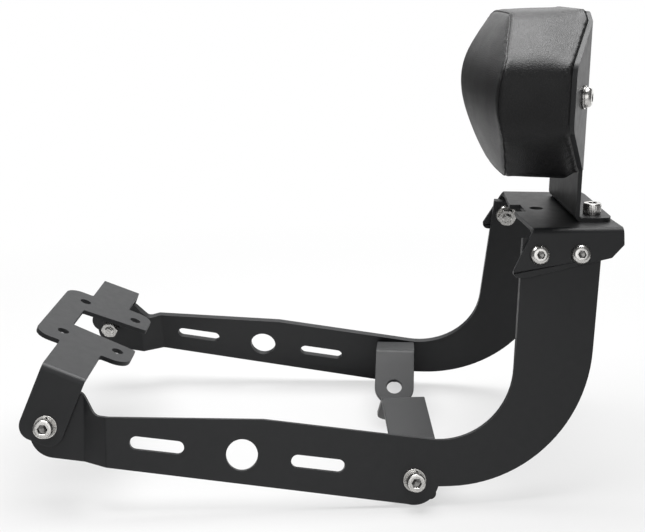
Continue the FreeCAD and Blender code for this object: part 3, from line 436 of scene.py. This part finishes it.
def zinc_plate(steel):
    """Dull zinc plating with a faint crystal pattern."""
    made, tree, shader = new_material("zinc_plate")
    place = add_node(tree, "ShaderNodeTexCoord")
    crystals = add_node(tree, "ShaderNodeTexVoronoi", {"Vector": place.outputs["Object"], "Scale": 700.0})
    marks = place_group(tree, speckle_group(), {"Scale": 400.0, "Contrast": 1.5})
    shader.inputs["Metallic"].default_value = 1.0
    shade = mix_colour(tree, crystals.outputs["Distance"], steel.zinc_colour, scaled(steel.zinc_colour, 0.8))
    tree.links.new(shade, shader.inputs["Base Color"])
    tree.links.new(vary(tree, marks, 0.36, 0.52), shader.inputs["Roughness"])
    tree.links.new(bump(tree, marks, 0.01 * MILLIMETRE), shader.inputs["Normal"])
    return made


def grained_leather(cover):
    """Black grained leather: pebbles with creases between them, and a slow change of polish."""
    made, tree, shader = new_material("grained_leather")
    place = add_node(tree, "ShaderNodeTexCoord")
    sway = add_node(tree, "ShaderNodeTexNoise", {
        "Vector": place.outputs["Object"], "Scale": 260.0, "Detail": 3.0})
    straight, swayed, result = VECTOR_SOCKETS
    bent = add_node(tree, "ShaderNodeMix", {
        "Factor": 0.0012, straight: place.outputs["Object"], swayed: sway.outputs["Color"]},
        data_type="VECTOR")
    creases = add_node(tree, "ShaderNodeTexVoronoi", {
        "Vector": bent.outputs[result], "Scale": 1.0 / cover.grain}, feature="DISTANCE_TO_EDGE")
    raised = add_node(tree, "ShaderNodeMapRange", {
        "Value": creases.outputs["Distance"], "From Min": 0.0, "From Max": 0.22},
        interpolation_type="SMOOTHSTEP")
    fine = place_group(tree, speckle_group(), {"Scale": 3000.0, "Contrast": 1.0})
    polish = place_group(tree, speckle_group(), {"Scale": 30.0, "Contrast": 1.8})
    shade = mix_colour(tree, polish, cover.colour, cover.sheen_colour)
    grained = mix_colour(tree, raised.outputs["Result"], scaled(cover.colour, 0.55), shade)
    tree.links.new(grained, shader.inputs["Base Color"])
    dulling = vary(tree, polish, cover.roughness + 0.07, cover.roughness - 0.06)
    tree.links.new(dulling, shader.inputs["Roughness"])
    shader.inputs["Specular IOR Level"].default_value = cover.gloss
    grain = bump(tree, raised.outputs["Result"], 0.09 * MILLIMETRE, 0.8)
    tree.links.new(bump(tree, fine, 0.02 * MILLIMETRE, 0.5, grain), shader.inputs["Normal"])
    return made


def plywood(cover):
    """Plywood of the backing board: plies across its thickness and fibres along it."""
    made, tree, shader = new_material("plywood_board")
    place = add_node(tree, "ShaderNodeTexCoord")
    stretched = add_node(tree, "ShaderNodeMapping", {
        "Vector": place.outputs["Object"], "Scale": (900.0, 25.0, 300.0)})
    fibre = add_node(tree, "ShaderNodeTexNoise", {
        "Vector": stretched.outputs["Vector"], "Scale": 1.0, "Detail": 6.0})
    plies = add_node(tree, "ShaderNodeTexWave", {
        "Vector": place.outputs["Object"], "Scale": 110.0, "Distortion": 0.4}, bands_direction="X")
    fleck = place_group(tree, speckle_group(), {"Scale": 250.0, "Contrast": 1.3})
    board = mix_colour(tree, fibre.outputs["Fac"], scaled(cover.board_colour, 0.7), cover.board_colour)
    layered = mix_colour(tree, plies.outputs["Fac"], board, scaled(cover.board_colour, 0.8))
    tree.links.new(layered, shader.inputs["Base Color"])
    tree.links.new(vary(tree, fleck, 0.55, 0.75), shader.inputs["Roughness"])
    tree.links.new(bump(tree, fibre.outputs["Fac"], 0.1 * MILLIMETRE, 0.5), shader.inputs["Normal"])
    return made


# Solids of the frame


def paint(piece, finish):
    piece.data.materials.clear()
    piece.data.materials.append(finish)


def break_edges(piece, width):
    """Narrow rounded edges, by modifiers alone, so that the solid's own mesh stays as it is."""
    weld = piece.modifiers.new("weld", "WELD")
    weld.merge_threshold = WELD_GAP
    flat = piece.modifiers.new("flat_faces", "DECIMATE")
    flat.decimate_type = "DISSOLVE"
    flat.angle_limit = FLAT_ANGLE
    edges = piece.modifiers.new("broken_edges", "BEVEL")
    edges.width = width
    edges.segments = 2
    edges.limit_method = "ANGLE"
    edges.angle_limit = EDGE_ANGLE
    edges.miter_outer = "MITER_ARC"
    shading = piece.modifiers.new("shading", "WEIGHTED_NORMAL")
    shading.weight = 100


def loose_parts(node):
    """Points of each separate solid of a node."""
    mesh = bmesh.new()
    mesh.from_mesh(NODES[node].data)
    bmesh.ops.remove_doubles(mesh, verts=mesh.verts, dist=WELD_GAP)
    mesh.verts.ensure_lookup_table()
    unseen = set(mesh.verts)
    parts = []
    while unseen:
        heap = [unseen.pop()]
        part = []
        while heap:
            vertex = heap.pop()
            part.append(vertex.co.copy())
            for edge in vertex.link_edges:
                other = edge.other_vert(vertex)
                if other in unseen:
                    unseen.remove(other)
                    heap.append(other)
        parts.append(np.array(part))
    mesh.free()
    return parts


def screw_facts(points):
    """Seat of the head, axis towards the head, and the sizes of one screw, measured on its solid."""
    end_band = 0.02 * MILLIMETRE
    tip_band = 0.05 * MILLIMETRE
    middle = (points.max(axis=0) + points.min(axis=0)) / 2
    spread = np.cov((points - points.mean(axis=0)).T)
    axis = np.linalg.eigh(spread)[1][:, -1]
    for _ in range(8):
        along = (points - middle) @ axis
        low = points[along < along.min() + end_band].mean(axis=0)
        high = points[along > along.max() - end_band].mean(axis=0)
        axis = (high - low) / np.linalg.norm(high - low)
        middle = (low + high) / 2
    along = (points - middle) @ axis
    radius = np.linalg.norm(points - middle - np.outer(along, axis), axis=1)
    widest = radius.max()
    if along[radius > 0.9 * widest].mean() < 0:
        axis = -axis
        along = -along
    head = along[radius > 0.97 * widest]
    shank = radius[along < along.min() + tip_band].max()
    return {
        "seat": middle + axis * head.min(), "axis": axis, "head_radius": widest, "shank_radius": shank,
        "head_height": along.max() - head.min(), "length": head.min() - along.min(),
    }


# Screws


def loft(mesh, rings):
    """Skin over rings of points, closed at both ends by a point each."""
    rows = [[mesh.verts.new(point) for point in ring] for ring in rings]
    for below, above in zip(rows, rows[1:]):
        count = len(below)
        for index in range(count):
            following = (index + 1) % count
            mesh.faces.new((below[index], below[following], above[following], above[index]))
    for row, order in ((rows[0], -1), (rows[-1], 1)):
        centre = mesh.verts.new(sum((vertex.co for vertex in row), Vector()) / len(row))
        count = len(row)
        for index in range(count):
            pair = (row[index], row[(index + 1) % count])[::order]
            mesh.faces.new((pair[0], pair[1], centre))


def ring(angles, radius, height):
    """Ring of points; the radius is one number or one for each angle."""
    radii = np.broadcast_to(radius, angles.shape)
    return [Vector((r * math.cos(a), r * math.sin(a), height)) for a, r in zip(angles, radii)]


def hexagon_radius(angles, across):
    sixth = math.pi / 3
    return across / 2 / np.cos((angles % sixth) - sixth / 2)


def thread_rings(angles, steel, radius, low, high):
    """Rings of a screw thread from its chamfered tip up to the plain shank."""
    step = steel.pitch / ROWS_PER_TURN
    count = int((high - low) / step)
    tip = 0.9 * (radius - steel.thread_depth)
    rings = [ring(angles, tip, low)]
    for row in range(1, count):
        height = low + row * step
        phase = (height / steel.pitch - angles / (2 * math.pi)) % 1.0
        crest = np.clip(2.6 * np.abs(phase - 0.5) - 0.15, 0, 1)
        wall = radius - steel.thread_depth * (1 - crest)
        chamfer = tip + (radius - tip) * min(1.0, 1.3 * row / ROWS_PER_TURN)
        rings.append(ring(angles, np.minimum(wall, chamfer), height))
    return rings


def socket_rings(angles, top_radius, top, across, depth):
    """Rings from the head's top edge in to the hexagon socket and down to its drilled point."""
    hexagon = hexagon_radius(angles, across)
    lead = 0.25 * MILLIMETRE
    floor = top - depth
    point = 0.5 * across * math.tan(DRILL_SLOPE)
    return [
        ring(angles, np.maximum(hexagon + 2 * lead, top_radius * 0.8), top),
        ring(angles, hexagon + lead, top),
        ring(angles, hexagon, top - lead),
        ring(angles, hexagon, floor),
        ring(angles, 0.48 * across, floor),
        ring(angles, 0.05 * across, floor - 0.9 * point),
    ]


def cap_head_rings(angles, steel, facts):
    """Knurled cylinder head with broken edges."""
    radius = facts["head_radius"]
    height = facts["head_height"]
    edge = 0.7 * MILLIMETRE
    wave = np.abs((angles * steel.knurls / (2 * math.pi)) % 1.0 - 0.5) * 2
    knurled = radius - steel.knurl_depth * wave
    rings = [
        ring(angles, radius - edge, 0),
        ring(angles, radius - 0.2 * edge, 0.25 * edge),
        ring(angles, radius - 0.2 * edge, 1.2 * edge),
        ring(angles, knurled, 1.5 * edge),
        ring(angles, knurled, height - 2 * edge),
        ring(angles, radius - 0.3 * edge, height - 1.6 * edge),
    ]
    for turn in (0.0, 0.33, 0.67, 1.0):
        angle = turn * math.pi / 2
        reach = radius - edge * (1.3 - math.cos(angle))
        rings.append(ring(angles, reach, height - edge * (1 - math.sin(angle))))
    return rings


def button_head_rings(angles, facts):
    """Low domed head."""
    radius = facts["head_radius"]
    height = facts["head_height"]
    crown = 0.55 * radius
    rim = 0.5 * MILLIMETRE
    rings = [ring(angles, radius - 0.5 * rim, 0), ring(angles, radius, 0.3 * rim), ring(angles, radius, rim)]
    steps = 9
    for step in range(1, steps + 1):
        share = step / steps
        reach = crown + (radius - crown) * math.cos(share * math.pi / 2)
        rings.append(ring(angles, reach, rim + (height - rim) * math.sin(share * math.pi / 2)))
    return rings


def build_screws(node, steel, finish, cap):
    """Detailed screws in the place of a node's plain ones."""
    mesh = bmesh.new()
    segments = steel.knurls * SEGMENTS_PER_KNURL if cap else BUTTON_SEGMENTS
    angles = np.linspace(0, 2 * math.pi, segments, endpoint=False)
    across = steel.cap_socket if cap else steel.button_socket
    depth = steel.cap_socket_depth if cap else steel.button_socket_depth
    for points in loose_parts(node):
        facts = screw_facts(points)
        low = -facts["length"]
        thread_end = low + min(0.6 * facts["length"], LONGEST_THREAD)
        rings = thread_rings(angles, steel, facts["shank_radius"], low, thread_end)
        rings += [ring(angles, facts["shank_radius"], thread_end), ring(angles, facts["shank_radius"], 0)]
        rings += cap_head_rings(angles, steel, facts) if cap else button_head_rings(angles, facts)
        top_radius = max(point.xy.length for point in rings[-1])
        rings += socket_rings(angles, top_radius, facts["head_height"], across, depth)
        one = bmesh.new()
        loft(one, rings)
        turn = Vector((0, 0, 1)).rotation_difference(Vector(facts["axis"])).to_matrix().to_4x4()
        one.transform(Matrix.Translation(Vector(facts["seat"])) @ turn)
        held = bpy.data.meshes.new("one_screw")
        one.to_mesh(held)
        one.free()
        mesh.from_mesh(held)
        bpy.data.meshes.remove(held)
    bmesh.ops.recalc_face_normals(mesh, faces=mesh.faces)
    for face in mesh.faces:
        face.smooth = True
    for edge in mesh.edges:
        edge.smooth = edge.calc_face_angle(0.0) < CREASE_ANGLE
    data = bpy.data.meshes.new(node + "_threaded")
    mesh.to_mesh(data)
    mesh.free()
    piece = bpy.data.objects.new(node + "_threaded", data)
    bpy.context.collection.objects.link(piece)
    paint(piece, finish)
    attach(piece, "root")
    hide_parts(node)


# Pad


def tree_of(*nodes):
    """Search tree over the faces of some nodes."""
    joined = bmesh.new()
    for node in nodes:
        joined.from_mesh(NODES[node].data)
    found = BVHTree.FromBMesh(joined)
    joined.free()
    return found


def mesh_points(mesh):
    points = np.empty(len(mesh.vertices) * 3)
    mesh.vertices.foreach_get("co", points)
    return points.reshape(-1, 3)


def set_points(mesh, points):
    mesh.vertices.foreach_set("co", np.asarray(points, np.float32).ravel())
    mesh.update()


def mesh_normals(mesh):
    normals = np.empty(len(mesh.vertices) * 3, np.float32)
    mesh.vertex_normals.foreach_get("vector", normals)
    return normals.reshape(-1, 3)


def apply_modifiers(piece):
    """Bakes a piece's modifiers into its mesh at the current frame."""
    graph = bpy.context.evaluated_depsgraph_get()
    baked = bpy.data.meshes.new_from_object(piece.evaluated_get(graph))
    old = piece.data
    piece.modifiers.clear()
    piece.data = baked
    bpy.data.meshes.remove(old)


def remeshed_copy(node, name, voxel):
    """Even mesh over the form of a node."""
    data = NODES[node].data.copy()
    piece = bpy.data.objects.new(name, data)
    bpy.context.collection.objects.link(piece)
    weld = piece.modifiers.new("weld", "WELD")
    weld.merge_threshold = WELD_GAP
    remesh = piece.modifiers.new("even_mesh", "REMESH")
    remesh.mode = "VOXEL"
    remesh.voxel_size = voxel
    apply_modifiers(piece)
    return piece


def swell(piece, cover, free):
    """Swells the cover over the foam, with the held points fixed and each point's move capped."""
    start = mesh_points(piece.data)
    slim = start - mesh_normals(piece.data) * (cover.slack * free)[:, None]
    set_points(piece.data, slim)
    pins = piece.vertex_groups.new(name="held")
    for index in np.flatnonzero(free < 0.5):
        pins.add([int(index)], 1.0, "REPLACE")
    cloth = piece.modifiers.new("cover", "CLOTH")
    settings = cloth.settings
    settings.quality = 6
    settings.mass = 0.3
    settings.tension_stiffness = 25
    settings.compression_stiffness = 25
    settings.shear_stiffness = 8
    settings.bending_stiffness = 2.0
    settings.use_pressure = True
    settings.uniform_pressure_force = cover.pressure
    settings.effector_weights.gravity = 0
    settings.vertex_group_mass = "held"
    cloth.collision_settings.use_collision = False
    scene = bpy.context.scene
    for number in range(1, cover.frames + 1):
        scene.frame_set(number)
    apply_modifiers(piece)
    scene.frame_set(1)
    moved = mesh_points(piece.data) - start
    length = np.linalg.norm(moved, axis=1)
    share = np.minimum(1.0, cover.cap / np.maximum(length, 1e-9)) * free
    set_points(piece.data, start + moved * share[:, None])


def drawn_to(tree, points):
    """Nearest places to some points on the faces of a search tree."""
    return np.array([tree.find_nearest(Vector(point))[0] for point in points])


def surface_of(piece):
    """Search tree over the faces of a piece."""
    corners = [vertex.co for vertex in piece.data.vertices]
    faces = [face.vertices for face in piece.data.polygons]
    return BVHTree.FromPolygons(corners, faces)


def cling(piece, solid, chosen):
    """Draws the chosen points of a cover onto the faces of a solid."""
    points = mesh_points(piece.data)
    points[chosen] = drawn_to(solid, points[chosen])
    set_points(piece.data, points)


def distances(tree, piece):
    return np.array([tree.find_nearest(vertex.co)[3] for vertex in piece.data.vertices])


def smoothed(line, rounds):
    """Closed line with each point drawn to the mean of itself and its neighbours."""
    for _ in range(rounds):
        line = (line + np.roll(line, 1, axis=0) + np.roll(line, -1, axis=0)) / 3
    return line


def seam_line(solid, cover):
    """Closed line along the edge between the pad's front and its sides."""
    low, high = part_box("pad_cushion")
    middle = (low.y + high.y) / 2
    half = (high.y - low.y) / 2 - cover.seam_inset
    top = high.z - cover.seam_inset
    bottom = low.z + cover.seam_inset
    right = [
        (half - cover.top_cut, top), (half, top - cover.cut_up),
        (half, bottom + cover.cut_up), (half - cover.low_cut, bottom),
    ]
    corners = right + [(-across, up) for across, up in reversed(right)]
    flat = []
    for first, second in zip(corners, corners[1:] + corners[:1]):
        count = round(math.dist(first, second) / SEAM_STEP)
        flat += [np.array(first) + (np.array(second) - first) * step / count for step in range(count)]
    ahead = low.x - (high.x - low.x)
    line = []
    for across, up in smoothed(np.array(flat), SEAM_CORNER_ROUNDS):
        hit = solid.ray_cast(Vector((ahead, middle + across, up)), Vector((1, 0, 0)))[0]
        if hit is None:
            raise RuntimeError("the seam leaves the pad")
        line.append(hit)
    return smoothed(np.array(line), SEAM_LINE_ROUNDS)


def relax(piece, rounds, free):
    """Rounds the form's edges where the cover is free, as foam does under leather."""
    ends = np.empty(len(piece.data.edges) * 2, np.int64)
    piece.data.edges.foreach_get("vertices", ends)
    first, second = ends.reshape(-1, 2).T
    points = mesh_points(piece.data)
    count = np.bincount(ends, minlength=len(points))
    for _ in range(rounds):
        total = np.zeros_like(points)
        np.add.at(total, first, points[second])
        np.add.at(total, second, points[first])
        points += (total / count[:, None] - points) * (RELAX_PULL * free)[:, None]
    set_points(piece.data, points)


def sagged(points, cover, free):
    """Points of the pad with its lower half hanging down, most at the underside."""
    low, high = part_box("pad_cushion")
    middle = (low.z + high.z) / 2
    share = np.clip((middle - points[:, 2]) / (middle - low.z), 0, 1)
    hanging = points.copy()
    hanging[:, 2] -= cover.sag * share ** 2 * free
    return hanging


def seam_distance(piece, line):
    points = mesh_points(piece.data)
    return np.array([np.min(np.linalg.norm(line - point, axis=1)) for point in points])


def press_seam(piece, cover, line):
    """Groove along the seam."""
    groove = cover.seam_depth * np.exp(-(seam_distance(piece, line) / cover.seam_width) ** 2)
    set_points(piece.data, mesh_points(piece.data) - mesh_normals(piece.data) * groove[:, None])


def build_welt(piece, cover, line, finish):
    """Folded welt that closes the seam: a thin cord sunk in the groove."""
    curve = bpy.data.curves.new("pad_welt", "CURVE")
    curve.dimensions = "3D"
    curve.bevel_depth = cover.welt
    curve.bevel_resolution = 4
    spline = curve.splines.new("POLY")
    spline.points.add(len(line) - 1)
    for point, place in zip(spline.points, drawn_to(surface_of(piece), line)):
        point.co = (*place, 1.0)
    spline.use_cyclic_u = True
    holder = bpy.data.objects.new("pad_welt_curve", curve)
    bpy.context.collection.objects.link(holder)
    graph = bpy.context.evaluated_depsgraph_get()
    data = bpy.data.meshes.new_from_object(holder.evaluated_get(graph))
    bpy.data.objects.remove(holder)
    welt = bpy.data.objects.new("pad_welt", data)
    bpy.context.collection.objects.link(welt)
    paint(welt, finish)
    for face in data.polygons:
        face.use_smooth = True
    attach(welt, "root")


def build_pad(cover):
    """Leather pad, swollen by cloth simulation between the stay and the seam."""
    piece = remeshed_copy("pad_cushion", "pad_cover", cover.voxel)
    solid = tree_of("pad_cushion")
    carrier = tree_of("backrest_stay", "pad_backing_board", "pad_tee_nuts")
    line = seam_line(solid, cover)
    cling(piece, solid, np.ones(len(piece.data.vertices), bool))
    from_carrier = np.clip(distances(carrier, piece) / cover.held - 1, 0, 1)
    from_seam = np.clip(seam_distance(piece, line) / cover.held - 0.3, 0, 1)
    relax(piece, cover.seam_softness, from_carrier)
    relax(piece, cover.softness, from_carrier * from_seam)
    line = sagged(drawn_to(surface_of(piece), line), cover, 1.0)
    set_points(piece.data, sagged(mesh_points(piece.data), cover, from_carrier))
    swell(piece, cover, from_carrier * from_seam)
    smooth = piece.modifiers.new("subdivided", "SUBSURF")
    smooth.levels = 1
    smooth.render_levels = 1
    apply_modifiers(piece)
    cling(piece, solid, distances(carrier, piece) < cover.held)
    press_seam(piece, cover, line)
    for face in piece.data.polygons:
        face.use_smooth = True
    finish = grained_leather(cover)
    paint(piece, finish)
    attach(piece, "root")
    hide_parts("pad_cushion")
    build_welt(piece, cover, line, finish)


# Stage


def build_floor(stage):
    """Plain pale floor at the lowest point of the rail; away from it the camera sees plain white."""
    data = bpy.data.meshes.new("floor")
    half = stage.floor_half
    corners = [(-half, -half, 0), (half, -half, 0), (half, half, 0), (-half, half, 0)]
    data.from_pydata(corners, [], [(0, 1, 2, 3)])
    floor = bpy.data.objects.new("floor", data)
    low, high = (Vector(corner) for corner in CAD_BOX)
    floor.location = ((low.x + high.x) / 2, (low.y + high.y) / 2, low.z - FLOOR_GAP)
    bpy.context.collection.objects.link(floor)
    made, tree, shader = new_material("floor_paint")
    mottle = place_group(tree, speckle_group(), {"Scale": 3.0, "Contrast": 0.3})
    shade = mix_colour(tree, mottle, scaled(stage.floor_colour, 0.99), stage.floor_colour)
    tree.links.new(shade, shader.inputs["Base Color"])
    shader.inputs["Roughness"].default_value = 0.9
    glow = add_node(tree, "ShaderNodeEmission", {"Color": (1, 1, 1, 1), "Strength": 1.0})
    ray = add_node(tree, "ShaderNodeLightPath")
    place = add_node(tree, "ShaderNodeTexCoord")
    reach = add_node(tree, "ShaderNodeVectorMath", {0: place.outputs["Object"]}, operation="LENGTH")
    white = add_node(tree, "ShaderNodeMapRange", {
        "Value": reach.outputs["Value"], "From Min": stage.glow_from, "From Max": stage.glow_to,
        "To Min": stage.floor_glow, "To Max": 1.0}, interpolation_type="SMOOTHSTEP")
    share = add_node(tree, "ShaderNodeMath", {0: ray.outputs["Is Camera Ray"], 1: white.outputs["Result"]},
                     operation="MULTIPLY")
    mixed = add_node(tree, "ShaderNodeMixShader", {
        0: share.outputs[0], 1: shader.outputs["BSDF"], 2: glow.outputs["Emission"]})
    tree.links.new(mixed.outputs[0], tree.nodes["Material Output"].inputs["Surface"])
    paint(floor, made)


def build_world(stage):
    """White to the camera, softer as a light."""
    world = bpy.data.worlds.new("studio")
    world.use_nodes = True
    tree = world.node_tree
    sky = tree.nodes["Background"]
    ray = add_node(tree, "ShaderNodeLightPath")
    strength = add_node(tree, "ShaderNodeMapRange", {
        "Value": ray.outputs["Is Camera Ray"], "To Min": stage.ambient, "To Max": 1.0})
    sky.inputs["Color"].default_value = (1, 1, 1, 1)
    tree.links.new(strength.outputs["Result"], sky.inputs["Strength"])
    bpy.context.scene.world = world


def soft_lamp(name, place, target, size, power):
    lamp = bpy.data.lights.new(name, "AREA")
    lamp.shape = "RECTANGLE"
    lamp.size, lamp.size_y = size
    lamp.energy = power
    holder = bpy.data.objects.new(name, lamp)
    holder.visible_camera = False
    holder.location = place
    holder.rotation_euler = (Vector(target) - Vector(place)).to_track_quat("-Z", "Y").to_euler()
    bpy.context.collection.objects.link(holder)


def build_camera(stage):
    data = bpy.data.cameras.new("camera")
    data.sensor_width = SENSOR_WIDTH
    data.lens = stage.focal_pixels / PHOTO_WIDTH * data.sensor_width
    data.clip_start = 0.01
    data.clip_end = 200
    camera = bpy.data.objects.new("camera", data)
    camera.location = stage.camera
    camera.rotation_euler = Vector(stage.aim).to_track_quat("-Z", "Y").to_euler()
    bpy.context.collection.objects.link(camera)
    bpy.context.scene.camera = camera


# Operators


class GRABRAIL_OT_sheets(Operator):
    """Coat the folded sheets and break their cut edges"""

    bl_idname = "grabrail.sheets"
    bl_label = "Coat Sheets"

    def execute(self, context):
        coat = context.scene.grab_rail.coat
        finish = powder_coat(coat)
        for node in SHEETS:
            break_edges(NODES[node], coat.edge)
            paint(NODES[node], finish)
        return {"FINISHED"}


class GRABRAIL_OT_screws(Operator):
    """Build the knurled cap screws and domed button screws"""

    bl_idname = "grabrail.screws"
    bl_label = "Build Screws"

    def execute(self, context):
        steel = context.scene.grab_rail.steel
        finish = stainless(steel)
        for node in CAP_SCREWS + BUTTON_SCREWS:
            build_screws(node, steel, finish, node in CAP_SCREWS)
        return {"FINISHED"}


class GRABRAIL_OT_hardware(Operator):
    """Finish the washers and nuts"""

    bl_idname = "grabrail.hardware"
    bl_label = "Finish Washers and Nuts"

    def execute(self, context):
        steel = context.scene.grab_rail.steel
        finish = bpy.data.materials["bright_stainless"]
        for node in HARDWARE:
            break_edges(NODES[node], steel.edge)
            paint(NODES[node], finish)
        return {"FINISHED"}


class GRABRAIL_OT_board(Operator):
    """Finish the backing board and its tee nuts"""

    bl_idname = "grabrail.board"
    bl_label = "Finish Board"

    def execute(self, context):
        looks = context.scene.grab_rail
        paint(NODES["pad_backing_board"], plywood(looks.cover))
        paint(NODES["pad_tee_nuts"], zinc_plate(looks.steel))
        return {"FINISHED"}


class GRABRAIL_OT_pad(Operator):
    """Build the leather pad with its seam"""

    bl_idname = "grabrail.pad"
    bl_label = "Build Pad"

    def execute(self, context):
        build_pad(context.scene.grab_rail.cover)
        return {"FINISHED"}


class GRABRAIL_OT_stage(Operator):
    """Build the floor, the light and the camera"""

    bl_idname = "grabrail.stage"
    bl_label = "Build Stage"

    def execute(self, context):
        stage = context.scene.grab_rail.stage
        build_floor(stage)
        build_world(stage)
        centre = sum((Vector(corner) for corner in CAD_BOX), Vector()) / 2
        for name, offset, size in LAMPS:
            soft_lamp(name, centre + Vector(offset), centre, size, getattr(stage, name))
        build_camera(stage)
        context.scene.view_settings.view_transform = "Standard"
        return {"FINISHED"}


class GRABRAIL_PT_panel(Panel):
    """Lists the pieces of the grab rail"""

    bl_idname = "GRABRAIL_PT_panel"
    bl_label = "Grab Rail"
    bl_space_type = "VIEW_3D"
    bl_region_type = "UI"
    bl_category = "Grab Rail"

    def draw(self, context):
        looks = context.scene.grab_rail
        for operator, group in (
            (GRABRAIL_OT_sheets, looks.coat), (GRABRAIL_OT_screws, looks.steel),
            (GRABRAIL_OT_hardware, None), (GRABRAIL_OT_board, None),
            (GRABRAIL_OT_pad, looks.cover), (GRABRAIL_OT_stage, looks.stage),
        ):
            box = self.layout.box()
            box.operator(operator.bl_idname)
            for name in (group.__annotations__ if group else ()):
                box.prop(group, name)


CLASSES = (
    CoatSettings, SteelSettings, CoverSettings, StageSettings, GrabRailSettings,
    GRABRAIL_OT_sheets, GRABRAIL_OT_screws, GRABRAIL_OT_hardware, GRABRAIL_OT_board, GRABRAIL_OT_pad,
    GRABRAIL_OT_stage, GRABRAIL_PT_panel,
)


def register():
    for item in CLASSES:
        bpy.utils.register_class(item)
    bpy.types.Scene.grab_rail = PointerProperty(type=GrabRailSettings)


def unregister():
    del bpy.types.Scene.grab_rail
    for item in reversed(CLASSES):
        bpy.utils.unregister_class(item)


def main():
    register()
    bpy.ops.grabrail.sheets()
    bpy.ops.grabrail.screws()
    bpy.ops.grabrail.hardware()
    bpy.ops.grabrail.board()
    bpy.ops.grabrail.pad()
    bpy.ops.grabrail.stage()


if __name__ == "__main__":
    main()
